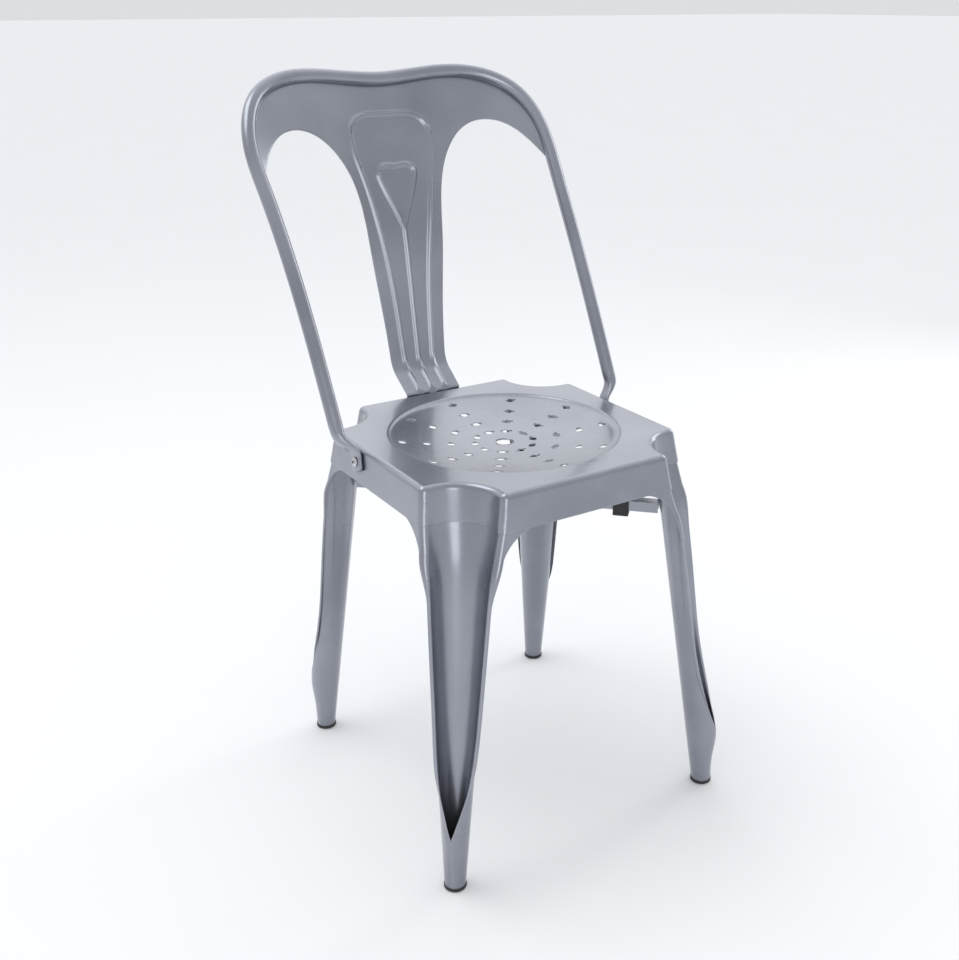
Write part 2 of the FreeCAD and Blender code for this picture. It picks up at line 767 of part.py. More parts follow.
def stacking_pad(name, corner, top):
    # A rubber block on a brace bar: the bar passes through its opening.
    body = new_body(name)
    plan = new_sketch(body, name + "_plan", "XY_Plane")
    draw_box(plan, "Sizes.pad_length / 2", "Sizes.pad_width / 2")
    plan.setExpression("AttachmentOffset.Base.z", "Sizes.%s - Sizes.bar_height - Sizes.pad_below" % top)
    doc.recompute()
    block = body.newObject("PartDesign::Pad", name + "_block")
    block.Profile = plan
    block.setExpression("Length", "Sizes.bar_height + Sizes.pad_below + Sizes.pad_above")
    body.Tip = block
    doc.recompute()
    upright = []
    for number, edge in enumerate(block.Shape.Edges, start=1):
        if edge.BoundBox.ZLength > size("bar_height"):
            upright.append("Edge%d" % number)
    rounds = body.newObject("PartDesign::Fillet", name + "_rounds")
    rounds.Base = (block, upright)
    rounds.setExpression("Radius", "Sizes.pad_round")
    body.Tip = rounds
    doc.recompute()
    side = new_sketch(body, name + "_opening", "YZ_Plane")
    half = size("bar_width") / 2 + size("fit_gap")
    high = size(top) + size("fit_gap")
    low = size(top) - size("bar_height") - size("fit_gap")
    line = [V(-half, low, 0), V(half, low, 0), V(half, high, 0), V(-half, high, 0), V(-half, low, 0)]
    for start, end in zip(line, line[1:]):
        side.addGeometry(Part.LineSegment(start, end), False)
    doc.recompute()
    opening = body.newObject("PartDesign::Pocket", name + "_through")
    opening.Profile = side
    opening.Midplane = True
    opening.setExpression("Length", "Sizes.pad_length * 2")
    body.Tip = opening
    doc.recompute()
    turn = FreeCAD.Rotation(V(0, 0, 1), corner_turn(corner))
    body.Placement = FreeCAD.Placement(chair_shift() + turn.multVec(V(size("pad_reach"), 0, 0)), turn)
    return body


def panel_profile():
    # The panel's front skin in the middle plane, from the foot up: corners as (y, z), and where its bends start.
    draft = math.radians(size("apron_draft"))
    seam = size("panel_foot_z")
    foot_y = size("seat_half") + apron_flare(seam) + size("fit_gap") / math.cos(draft)
    slope = math.radians(size("panel_slope"))
    upright = math.radians(size("panel_upright"))
    line = [(foot_y, seam)]
    top_z = size("seat_height") - size("fit_gap")
    line.append((foot_y - (top_z - seam) * math.tan(draft), top_z))
    # The fold turns from the drafted apron back to a slope over the hoop's foot.
    heading = math.pi / 2 + draft
    fold = size("panel_fold_round")
    y, z = line[-1]
    centre = (y + fold * math.sin(heading), z - fold * math.cos(heading))
    folds = []
    middle = (heading + slope) / 2
    folds.append((centre[0] - fold * math.sin(middle), centre[1] + fold * math.cos(middle)))
    y = centre[0] - fold * math.sin(slope)
    z = centre[1] + fold * math.cos(slope)
    line.append((y, z))
    y += size("panel_slope_length") * math.cos(slope)
    z += size("panel_slope_length") * math.sin(slope)
    line.append((y, z))
    bend = size("panel_bend_radius")
    centre = (y - bend * math.sin(slope), z + bend * math.cos(slope))
    middle = (slope + upright) / 2
    folds.append((centre[0] + bend * math.sin(middle), centre[1] - bend * math.cos(middle)))
    y = centre[0] + bend * math.sin(upright)
    z = centre[1] - bend * math.cos(upright)
    line.append((y, z))
    straight = (size("panel_straight_top") - z) / math.tan(upright)
    line.append((y + straight, size("panel_straight_top")))
    return line, folds


def middle_y(height):
    # The panel's front skin in the middle plane, above its lower bend.
    line, folds = panel_profile()
    upright = math.radians(size("panel_upright"))
    y, z = line[-1]
    if height <= z:
        return y - (z - height) / math.tan(upright)
    radius = size("panel_curve_radius")
    # Above the straight the panel curves back along one round arc.
    centre_y = y + radius * math.sin(upright)
    centre_z = z - radius * math.cos(upright)
    return centre_y - math.sqrt(radius ** 2 - (height - centre_z) ** 2)


def back_y(across, height):
    # Front skin of the whole back: hollow from side to side, and flat near the seat.
    depth = size("panel_hollow")
    if height > size("panel_hollow_z"):
        depth -= size("panel_hollow_fade") * (height - size("panel_hollow_z"))
    share = (height - size("hollow_start_z")) / (size("panel_hollow_z") - size("hollow_start_z"))
    share = min(max(share, 0), 1)
    depth *= share * share * (3 - 2 * share)
    return middle_y(height) - depth * (across / size("panel_hollow_x")) ** 2


def hoop_line():
    # Places along the middle of the tube, from the right foot over the top to the left foot.
    right = [V(size(name + "_x"), size(name + "_y"), size(name + "_z")) for name in HOOP_PLACES]
    return right + [V(0, size("rail_y"), size("rail_z"))] + [V(-point.x, point.y, point.z) for point in right[::-1]]


def hoop_foot(side, start, direction):
    # The tube's foot is pressed flat to a tab on the apron, with round corners, and blends into the tube.
    spot = hoop_bolt_place(side)
    gap = size("fit_gap")
    lean = FreeCAD.Placement(V(0, 0, gap), FreeCAD.Rotation(V(0, 0, 1), side * size("hoop_lean")))
    place = spot.multiply(lean)
    wide = size("tab_width")
    thick = size("tab_thick")
    tab = Part.makeBox(wide, size("tab_above") + size("tab_below"), thick, V(-wide / 2, -size("tab_below"), 0))
    low = [edge for edge in tab.Edges if edge.BoundBox.YMax < gap - size("tab_below") and edge.BoundBox.ZLength > gap]
    tab = tab.makeFillet(size("tab_corner"), low)
    tab.Placement = place
    # The blend is a cone that two slanting flats narrow down to the tab's thickness.
    root = place.multVec(V(0, size("tab_above") - gap, thick / 2))
    axis = start - root
    cone = Part.makeCone(wide / 2, size("tube_radius"), axis.Length, root, axis)
    out = place.Rotation.multVec(V(0, 0, 1))
    across = axis.cross(out).normalize()
    out = across.cross(axis).normalize()
    frames = []
    for middle, half in ((root, thick / 2), (start, size("tube_radius"))):
        corners = []
        for one, two in ((1, 1), (-1, 1), (-1, -1), (1, -1)):
            corners.append(middle + across * (one * wide) + out * (two * half))
        frames.append(Part.makePolygon(corners + corners[:1]))
    neck = cone.common(Part.makeLoft(frames, True, True))
    hole = Part.makeCylinder(size("tab_hole_radius"), 4 * thick, V(0, 0, -thick))
    hole.Placement = spot
    return tab, neck, hole


def two_arcs(start, start_way, end, end_way):
    # Two round arcs that leave and arrive in the given directions and meet smoothly: (from, way, to) for each.
    span = end - start
    both = start_way + end_way
    turned = 2 * (1 - start_way.dot(end_way))
    across = span.dot(both)
    reach = (math.sqrt(across ** 2 + turned * span.dot(span)) - across) / turned
    meet = (start + start_way * reach + end - end_way * reach) * 0.5
    meet_way = (end - end_way * reach - start - start_way * reach).normalize()
    return [(start, start_way, meet), (meet, meet_way, end)]


def bent_tube(start, way, end, radius):
    # One round bend of the tube: it leaves in the given direction and ends at the given place.
    chord = end - start
    axis = way.cross(chord).normalize()
    inward = axis.cross(way)
    bend = chord.dot(chord) / (2 * chord.dot(inward))
    angle = 2 * math.degrees(math.asin(min(chord.Length / (2 * bend), 1)))
    disc = Part.Face(Part.Wire(Part.makeCircle(radius, start, way)))
    return disc.revolve(start + inward * bend, axis, angle)


def hoop_bends(radius):
    # The whole bent tube as one solid, without its feet, and its two ends with the ways they face.
    points = hoop_line()
    curve = Part.BSplineCurve()
    curve.interpolate(points)
    ways = [V(*curve.tangent(curve.parameter(point))[0]) for point in points]
    # The shoulder only steers the curve: the bends run between the other places.
    skipped = (HOOP_PLACES.index("shoulder"), len(points) - 1 - HOOP_PLACES.index("shoulder"))
    nodes = [(point, way) for index, (point, way) in enumerate(zip(points, ways)) if index not in skipped]
    bends = []
    for first, second in zip(nodes, nodes[1:]):
        for start, way, end in two_arcs(first[0], first[1], second[0], second[1]):
            bends.append(bent_tube(start, way, end, radius))
    return bends[0].fuse(bends[1:]), (nodes[0], nodes[-1])


def back_hoop():
    shape, ends = hoop_bends(size("tube_radius"))
    for side, hand in SIDES:
        place, way = ends[0] if side > 0 else ends[1]
        tab, neck, hole = hoop_foot(side, place, way)
        shape = shape.fuse([tab, neck]).cut(hole)
    hoop = doc.addObject("Part::Feature", "back_hoop")
    hoop.Label = "back_hoop"
    hoop.Shape = shape
    hoop.Placement = FreeCAD.Placement(chair_shift(), NO_TURN)
    return hoop


def panel_section(across):
    # The panel cut at one distance from the middle, as a closed line one sheet thick.
    line, folds = panel_profile()
    thick = size("sheet_thick")
    low = size("panel_straight_top") - size("hollow_start_z")
    heights = [size("hollow_start_z") + low / 2 * k for k in range(1, 3)]
    top = size("crown_z") + size("tube_radius")
    heights += [heights[-1] + (top - heights[-1]) * k / 4 for k in range(1, 5)]
    start = size("hollow_start_z")
    skins = []
    for depth in (0, thick):
        corners = []
        draft = math.radians(90 + size("apron_draft"))
        slope = math.radians(size("panel_slope"))
        upright = math.radians(size("panel_upright"))
        for (y, z), heading in zip(line[:5], (draft, draft, slope, slope, upright)):
            corners.append(V(across, y + depth * math.sin(heading), z - depth * math.cos(heading)))
        corners.append(V(across, middle_y(start) + depth * math.sin(upright), start - depth * math.cos(upright)))
        bends = []
        for (y, z), heading in zip(folds, ((draft + slope) / 2, (slope + upright) / 2)):
            bends.append(V(across, y + depth * math.sin(heading), z - depth * math.cos(heading)))
        points = [corners[5]]
        for height in heights:
            step = 1.0
            lean = math.atan2(step, back_y(across, height + step) - back_y(across, height))
            skin = V(across, back_y(across, height), height)
            points.append(skin + V(0, depth * math.sin(lean), -depth * math.cos(lean)))
        curve = Part.BSplineCurve()
        first = V(0, math.cos(upright), math.sin(upright))
        last = (points[-1] - points[-2]).normalize()
        curve.interpolate(Points=points, InitialTangent=first, FinalTangent=last)
        edges = [
            Part.LineSegment(corners[0], corners[1]).toShape(),
            Part.Arc(corners[1], bends[0], corners[2]).toShape(),
            Part.LineSegment(corners[2], corners[3]).toShape(),
            Part.Arc(corners[3], bends[1], corners[4]).toShape(),
            Part.LineSegment(corners[4], corners[5]).toShape(),
            curve.toShape(),
        ]
        skins.append((edges, corners[0], points[-1]))
    front, back = skins
    closing = Part.LineSegment(front[2], back[2]).toShape()
    opening = Part.LineSegment(back[1], front[1]).toShape()
    return Part.Wire(front[0] + [closing] + back[0][::-1] + [opening])


def panel_outline():
    # The panel seen from the front: a waist that spreads into two wings, closed along the middle of the hoop.
    right = [V(size("edge_x_%d" % step), 0, size("edge_z_%d" % step)) for step in range(1, EDGE_STEPS + 1)]
    edge = Part.BSplineCurve()
    edge.interpolate(right)
    hoop = [V(point.x, 0, point.z) for point in hoop_line()]
    rail = Part.BSplineCurve()
    rail.interpolate(hoop[HOOP_PLACES.index("flank"):-HOOP_PLACES.index("flank")])
    tip = right[-1]
    flank = hoop[HOOP_PLACES.index("flank")]
    edges = [
        edge.toShape(),
        Part.LineSegment(tip, flank).toShape(),
        rail.toShape(),
        Part.LineSegment(V(-flank.x, 0, flank.z), V(-tip.x, 0, tip.z)).toShape(),
        edge.toShape().mirror(V(0, 0, 0), V(1, 0, 0)),
        Part.LineSegment(V(-right[0].x, 0, right[0].z), right[0]).toShape(),
    ]
    wire = Part.Wire(Part.__sortEdges__(edges))
    return Part.Face(wire).extrude(V(0, size("seat_height"), 0))


def front_skin(across, height):
    # The panel's front skin, also round its lower bend and down its slope.
    line, folds = panel_profile()
    slope = math.radians(size("panel_slope"))
    bend = size("panel_bend_radius")
    slope_top, bend_top = line[3], line[4]
    if height >= bend_top[1]:
        return back_y(across, height)
    if height <= slope_top[1]:
        return slope_top[0] - (slope_top[1] - height) / math.tan(slope)
    middle = (slope_top[0] - bend * math.sin(slope), slope_top[1] + bend * math.cos(slope))
    return middle[0] + math.sqrt(bend ** 2 - (height - middle[1]) ** 2)


def rib(places, steps):
    # A raised bead along a smooth line on the panel. Its foot is sunk to the middle of the sheet.
    line = Part.BSplineCurve()
    line.interpolate([V(x, 0, z) for x, z in places])
    half = size("rib_half_width")
    high = size("rib_height")
    sunk = size("sheet_thick") / 2
    shape = [(-half, -sunk), (-half * 0.6, high * 0.65), (0, high), (half * 0.6, high * 0.65), (half, -sunk)]
    span = line.LastParameter - line.FirstParameter
    sections = []
    for step in range(steps + 1):
        share = line.FirstParameter + span * step / steps
        flat = line.value(share)
        way = line.tangent(share)[0]
        small = size("fit_gap")
        here = V(flat.x, front_skin(flat.x, flat.z), flat.z)
        ahead = V(flat.x + way.x * small, 0, flat.z + way.z * small)
        ahead.y = front_skin(ahead.x, ahead.z)
        lean_x = (front_skin(flat.x + small, flat.z) - here.y) / small
        lean_z = (front_skin(flat.x, flat.z + small) - here.y) / small
        out = V(lean_x, -1, lean_z).normalize()
        along = (ahead - here).normalize()
        beside = along.cross(out).normalize()
        corners = [here + beside * a + out * b for a, b in shape]
        sections.append(Part.makePolygon(corners + corners[:1]))
    return Part.makeLoft(sections, True, True)


def panel_ribs():
    def places(name, count):
        return [(size("%s_x_%d" % (name, step)), size("%s_z_%d" % (name, step))) for step in range(1, count + 1)]

    def mirrored(right):
        return right + [(-x, z) for x, z in right[-2::-1]]

    outer = mirrored(places("rib", OUTER_RIB_PLACES))
    inner = mirrored(places("eye", INNER_RIB_PLACES))
    middle = [(0, size("straight_rib_top")), (0, size("straight_rib_foot"))]
    return [rib(middle, 12), rib(outer, 36), rib(inner, 18)]


def back_panel():
    reach = size("shoulder_x") + size("tube_radius")
    blank = Part.makeLoft([panel_section(reach * share) for share in (-1, -0.5, 0, 0.5, 1)], True, False)
    plate = blank.common(panel_outline())
    room, ends = hoop_bends(size("tube_radius") + size("fit_gap"))
    plate = plate.cut(room)
    plate = max(plate.Solids, key=lambda solid: solid.Volume)
    holes = []
    for side, hand in SIDES:
        hole = Part.makeCylinder(size("tab_hole_radius"), 8 * size("sheet_thick"), V(0, 0, -size("sheet_thick")))
        hole.Placement = panel_bolt_place(side)
        holes.append(hole)
    panel = doc.addObject("Part::Feature", "back_panel")
    panel.Label = "back_panel"
    plate = plate.cut(holes)
    for bead in panel_ribs():
        plate = plate.fuse(bead)
    panel.Shape = plate
    panel.Placement = FreeCAD.Placement(chair_shift(), NO_TURN)
    return panel


CORNERS = ((0, "rear_right"), (1, "rear_left"), (2, "front_left"), (3, "front_right"))

seat_pan()
for corner, name in CORNERS:
    rolled_leg(name + "_leg", corner)
    foot_cap(name + "_foot_cap", corner)
    # The upper bar runs from the rear left leg to the front right one.
    stacking_pad(name + "_pad", corner, "upper_bar_top" if corner in (1, 3) else "lower_bar_top")
brace_bar("upper_brace_bar", "upper_bar_top", corner_turn(1), True)
brace_bar("lower_brace_bar", "lower_bar_top", corner_turn(0), False)
brace_rivet()
back_hoop()
back_panel()
for side, hand in SIDES:
    fasten("hoop", hand, hoop_bolt_place(side), size("tab_thick"))
    fasten("panel", hand, panel_bolt_place(side), size("sheet_thick"))
doc.recompute()

for item in doc.Objects:
    if "Invalid" in item.State or "Error" in item.State:
        raise RuntimeError("%s did not build" % item.Name)

pieces = [item for item in doc.Objects if item.isDerivedFrom("PartDesign::Body")]
pieces += [item for item in doc.Objects if item.TypeId == "Part::Feature"]
os.makedirs("parts", exist_ok=True)
for piece in pieces:
    if piece.Shape.isNull() or not piece.Shape.isValid() or len(piece.Shape.Solids) != 1:
        raise RuntimeError("%s is not one valid solid" % piece.Label)
for piece in pieces:
    piece.Shape.exportStep("parts/%s.step" % piece.Label)
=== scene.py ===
import bpy
import bmesh
import json
import numpy as np
from math import asin, atan2, copysign, cos, hypot, pi, radians, sin, sqrt, tan
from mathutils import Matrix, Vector
from mathutils.geometry import delaunay_2d_cdt


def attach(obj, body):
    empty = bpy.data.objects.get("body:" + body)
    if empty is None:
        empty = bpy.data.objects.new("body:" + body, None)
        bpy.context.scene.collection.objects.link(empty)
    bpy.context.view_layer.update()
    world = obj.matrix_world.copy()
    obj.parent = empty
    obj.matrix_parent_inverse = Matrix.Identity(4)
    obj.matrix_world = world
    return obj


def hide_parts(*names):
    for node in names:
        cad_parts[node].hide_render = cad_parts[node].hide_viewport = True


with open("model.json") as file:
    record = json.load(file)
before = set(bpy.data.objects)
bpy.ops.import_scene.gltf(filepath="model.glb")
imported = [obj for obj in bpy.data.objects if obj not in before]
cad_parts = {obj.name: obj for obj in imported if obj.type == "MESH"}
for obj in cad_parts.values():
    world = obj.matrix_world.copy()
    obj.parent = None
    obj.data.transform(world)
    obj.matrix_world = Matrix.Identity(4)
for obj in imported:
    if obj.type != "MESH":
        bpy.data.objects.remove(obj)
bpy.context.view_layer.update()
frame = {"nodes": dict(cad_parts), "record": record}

# Sizes are in millimetres, measured from the middle of the seat, and heights from the floor. Forward is -Y.
SEAT_SHIFT = 49.4
SEAT_HEIGHT = 450
SEAT_HALF = 165
SHEET = 1.2
SHEET_GAP = 0.2
DRAFT = radians(8.75)
APRON_DEPTH = 39
SEAM_Z = SEAT_HEIGHT - APRON_DEPTH
APRON_INSET = SHEET / cos(DRAFT) + SHEET_GAP

# The legs. NOTCH_HUB is the middle of the seat's corner notch, out along the corner.
NOTCH_HUB = 154.9 * sqrt(2)
NOTCH_RADIUS = 50
RIDGE_ROUND = 8
GUSSET_LENGTH = 36
GUSSET_DROP = 28
GUSSET_Z = 381
GUSSET_FADE = 50
ANKLE_Z = 165
ANKLE_FADE = 65
SHAFT_BEND = 2.3
ANKLE_BEND = 1.5
ANKLE_CURL = 0.25
EDGE_STUB = 0.5
RIDGE_TURN = 135
SHAFT_TURN = 165
BEAK_PINCH = 0.18
LEG_TOP = 437
# The trough's place out along the corner, its height and its radius, where the gusset runs out.
KNEE = (216.5, 366, 32)
KNEE_ROUND = 12
SEAM_FADE = 20
FOOT_Z = 4
FOOT_RADIUS = 10.8
# Each foot's bearing in degrees, its reach along that and its offset across it.
FEET = {
    "front_left": (225, 255, 0),
    "front_right": (315, 255, 0),
    "rear_right": (45, 253.1, 12.7),
    "rear_left": (135, 253.1, -12.7),
}
# Half of the trough's sweep in degrees, by height.
MOUTH = [
    (381, 63.9), (366, 71), (340, 77), (300, 81), (250, 85), (210, 89), (170, 99), (140, 113), (118, 129),
    (98, 149), (82, 166), (68, 179.3), (4, 179.3),
]
# How far the tube is drawn out to a beak under the trough's mouth, as a share of its radius, by height.
BEAK = [
    (200, 0), (150, 0.03), (110, 0.15), (85, 0.29), (68, 0.36), (52, 0.26), (36, 0.11), (20, 0.03), (4, 0),
]

# The hoop: half of its tube's middle line, and the middle of its rail.
TUBE_RADIUS = 8
TUBE_SIDES = 40
HOOP_PLACES = [
    (185.2, 47, 467), (186.6, 121.9, 608), (190.8, 183.5, 705), (191.7, 208, 740), (170, 246, 789.5),
    (117, 275.5, 810),
]
RAIL = (0, 283.4, 805)
TAB_HALF_WIDTH = 10.5
TAB_HALF_THICK = 2.3
TAB_LIFT = TAB_HALF_THICK + SHEET_GAP
TAB_LENGTH = 20
TAB_FADE = 42
TAB_ROUND = 4.0
TAB_LEAN = radians(22)
TAB_SQUARE = 0.45
HOOP_BOLT = (34, 434)
PANEL_BOLT = (20, 433)

# The back panel: its right edge and its ribs, seen from the front, and its run in the middle.
PANEL_EDGE = [
    (36.5, 424), (41, 530), (50, 625), (64, 708), (80, 734), (101, 751), (126, 757), (151, 751), (170, 735),
    (186, 712),
]
OUTER_RIB = [
    (18.4, 455), (22, 530), (27, 590), (36, 650), (47, 705), (53, 738), (50, 755), (38, 764), (0, 766.5),
]
EYE_RIB = [(0, 640), (12, 668), (24, 698), (24.5, 705), (20, 710), (0, 710.5)]
STRAIGHT_RIB = [(0, 646), (0, 560), (0, 455)]
WING_TIP_Z = 704
RIB_LIFT = 2.4
RIB_SPREAD = 2.5
PANEL_FOOT = 424
FOLD_BEND = 2.5
RAMP = radians(35)
RAMP_LENGTH = 30
RAMP_BEND = 29
UPRIGHT = radians(81.7)
CURVE_START = 600
CURVE_RADIUS = 640
DISH_DEPTH = 60
DISH_HALF_WIDTH = 190
DISH_START = 520
DISH_RUN = 180
DISH_FADE_Z = 700
DISH_FADE_ROUND = 12
DISH_FADE = 0.13

# The lip along the apron's notches, and the bowl with its holes.
LIP_RADIUS = 1.1
LIP_OUT = 0.9
LIP_UP = 0.7
BOWL_RIM = 134
RIM_SLANT = 2
RIM_BEND = 6
RIM_SLOPE = radians(40)
BOWL_SLOPE = radians(11.3)
HOLE_RADIUS = 4.2
HOLE_FIRST = 34
HOLE_PITCH = 28
HOLE_ROWS = 4
HOLE_SPOKES = 10
HOLE_SIDES = 28
DRAIN_RADIUS = 9


def smooth(share):
    """A soft step from 0 to 1."""
    share = min(max(share, 0.0), 1.0)
    return share * share * (3 - 2 * share)


def seat_frame(points):
    """Points measured from the middle of the seat in millimetres, as points of the whole chair in metres."""
    points = np.array(points, float)
    points[..., 1] -= SEAT_SHIFT
    return points / 1000


def turned(points, angle):
    """The points, turned round the upright through the seat's middle."""
    cosine, sine = cos(angle), sin(angle)
    return np.array(points) @ np.array([[cosine, sine, 0], [-sine, cosine, 0], [0, 0, 1]])


def unit(vectors):
    """Each vector at a length of one."""
    return vectors / np.linalg.norm(vectors, axis=-1, keepdims=True)


def marks_along(line):
    """How far along the line each of its points lies."""
    return np.r_[0, np.cumsum(np.linalg.norm(np.diff(line, axis=0), axis=1))]


def curve_through(places, count):
    """Evenly spaced points on a smooth curve through the places."""
    places = np.array(places, float)
    marks = marks_along(places)
    steps = np.diff(marks)
    size = len(places)
    left = np.eye(size)
    right = np.zeros_like(places)
    for k in range(1, size - 1):
        before, after = steps[k - 1], steps[k]
        left[k, k - 1:k + 2] = before, 2 * (before + after), after
        right[k] = 6 * ((places[k + 1] - places[k]) / after - (places[k] - places[k - 1]) / before)
    bend = np.linalg.solve(left, right)
    fine = np.linspace(0, marks[-1], count)
    span = np.clip(np.searchsorted(marks, fine, side="right") - 1, 0, size - 2)
    gap = steps[span][:, None]
    low = (marks[span + 1] - fine)[:, None]
    high = (fine - marks[span])[:, None]
    curve = (bend[span] * low ** 3 + bend[span + 1] * high ** 3) / (6 * gap)
    curve += (places[span] / gap - bend[span] * gap / 6) * low
    curve += (places[span + 1] / gap - bend[span + 1] * gap / 6) * high
    return curve


def both_sides(right):
    """The places of a right half and a middle, carried on over the left half."""
    return list(right) + [(-place[0],) + tuple(place[1:]) for place in right[-2::-1]]


def table(rows, height):
    """A smooth value between rows of a height and a value, from the top down. It never swings past a row."""
    heights, values = np.array(rows[::-1], float).T
    steps = np.diff(heights)
    slopes = np.diff(values) / steps
    tangents = np.zeros(len(rows))
    for k in range(1, len(rows) - 1):
        if slopes[k - 1] * slopes[k] > 0:
            tangents[k] = 2 * slopes[k - 1] * slopes[k] / (slopes[k - 1] + slopes[k])
    tangents[0], tangents[-1] = slopes[0], slopes[-1]
    span = int(np.clip(np.searchsorted(heights, height, side="right") - 1, 0, len(rows) - 2))
    step = steps[span]
    share = min(max((height - heights[span]) / step, 0.0), 1.0)
    value = values[span] + (values[span + 1] - values[span]) * smooth(share)
    value += step * tangents[span] * share * (1 - share) ** 2
    value -= step * tangents[span + 1] * share ** 2 * (1 - share)
    return float(value)


# Materials.


def node(tree, kind, inputs=None, **settings):
    """A new node. Each input, named or numbered, is fed from a socket or set to a value."""
    made = tree.nodes.new(kind)
    for name, value in settings.items():
        setattr(made, name, value)
    for name, value in (inputs or {}).items():
        if isinstance(value, bpy.types.NodeSocket):
            tree.links.new(value, made.inputs[name])
        else:
            made.inputs[name].default_value = value
    return made


def math_node(tree, operation, *values, clamp=False):
    made = node(tree, "ShaderNodeMath", dict(enumerate(values)), operation=operation, use_clamp=clamp)
    return made.outputs[0]


def colour_mix(tree, share, first, second):
    """A mix of two colours. The shader's mix node has its factor and its two colours at these places."""
    made = node(tree, "ShaderNodeMix", {0: share, 6: first, 7: second}, data_type="RGBA")
    return made.outputs[2]


def value_range(tree, value, given, wanted):
    """The value, carried over from the given range to the wanted one and held inside it."""
    inputs = zip(("Value", "From Min", "From Max", "To Min", "To Max"), (value, *given, *wanted))
    return node(tree, "ShaderNodeMapRange", dict(inputs), clamp=True).outputs["Result"]


def noise(tree, place, scale, detail):
    """Noise from 0 to 1 over a place."""
    made = node(tree, "ShaderNodeTexNoise", {"Vector": place, "Scale": scale, "Detail": detail})
    return made.outputs["Fac"]


def cleared(owner):
    """The node tree of a material or world, emptied."""
    owner.use_nodes = True
    owner.node_tree.nodes.clear()
    return owner.node_tree


def shader_group(name, inputs, outputs):
    """A shader node group with named numbers as inputs, and its inner ends."""
    group = bpy.data.node_groups.new(name, "ShaderNodeTree")
    for label, value in inputs.items():
        socket = group.interface.new_socket(label, in_out="INPUT", socket_type="NodeSocketFloat")
        socket.default_value = value
    for label, kind in outputs.items():
        group.interface.new_socket(label, in_out="OUTPUT", socket_type="NodeSocket" + kind)
    return group, group.nodes.new("NodeGroupInput").outputs, group.nodes.new("NodeGroupOutput").inputs


def edge_wear_and_corner_shade_group():
    """Masks of the worn edges and of the shaded corners and seams, for painted shade and dust, and normals
    that soften the edges.
    """
    group, given, result = shader_group(
        "edge_wear_and_corner_shade",
        {"Edge Width": 0.0012, "Amount": 0.6, "Patch Scale": 60.0},
        {"Wear": "Float", "Corner Shade And Dust": "Float", "Edge Normal": "Vector"},
    )
    place = node(group, "ShaderNodeTexCoord").outputs["Object"]
    rounded = node(group, "ShaderNodeBevel", {"Radius": given["Edge Width"]}, samples=4).outputs[0]
    plain = node(group, "ShaderNodeNewGeometry").outputs["Normal"]
    facing = node(group, "ShaderNodeVectorMath", {0: rounded, 1: plain}, operation="DOT_PRODUCT")
    edge = value_range(group, facing.outputs["Value"], (0.96, 0.80), (0.0, 1.0))
    patches = noise(group, place, given["Patch Scale"], 4.0)
    broken = math_node(group, "MULTIPLY", edge, value_range(group, patches, (0.38, 0.62), (0.25, 1.0)))
    wear = math_node(group, "MULTIPLY", broken, given["Amount"], clamp=True)
    # Painted shade: ambient occlusion marks the corners, seams and gaps under laps, where shade falls.
    closed = node(group, "ShaderNodeAmbientOcclusion", {"Distance": 0.006}, samples=8)
    dust = value_range(group, closed.outputs["AO"], (0.80, 0.25), (0.0, 1.0))
    soft = node(group, "ShaderNodeBevel", {"Radius": 0.0006}, samples=4).outputs[0]
    for label, value in (("Wear", wear), ("Corner Shade And Dust", dust), ("Edge Normal", soft)):
        group.links.new(value, result[label])
    return group


def surface_grain_group():
    """Fine flake, broad mottling and shallow ripples of a sprayed or moulded skin."""
    group, given, result = shader_group(
        "surface_grain",
        {"Flake Scale": 2600.0, "Mottle Scale": 14.0, "Ripple Scale": 90.0, "Flake Share": 0.35},
        {"Flake": "Float", "Mottle": "Float", "Height": "Float"},
    )
    place = node(group, "ShaderNodeTexCoord").outputs["Object"]
    flake = noise(group, place, given["Flake Scale"], 1.0)
    mottle = noise(group, place, given["Mottle Scale"], 3.0)
    ripple = noise(group, place, given["Ripple Scale"], 2.0)
    height = math_node(group, "ADD", ripple, math_node(group, "MULTIPLY", flake, given["Flake Share"]))
    for label, value in (("Flake", flake), ("Mottle", mottle), ("Height", height)):
        group.links.new(value, result[label])
    return group


EDGE_WEAR_AND_CORNER_SHADE = edge_wear_and_corner_shade_group()
SURFACE_GRAIN = surface_grain_group()
MOTTLE_RANGE = (0.3, 0.7)
FLAKE_RANGE = (0.35, 0.75)
DUST_ROUGHNESS = 0.15


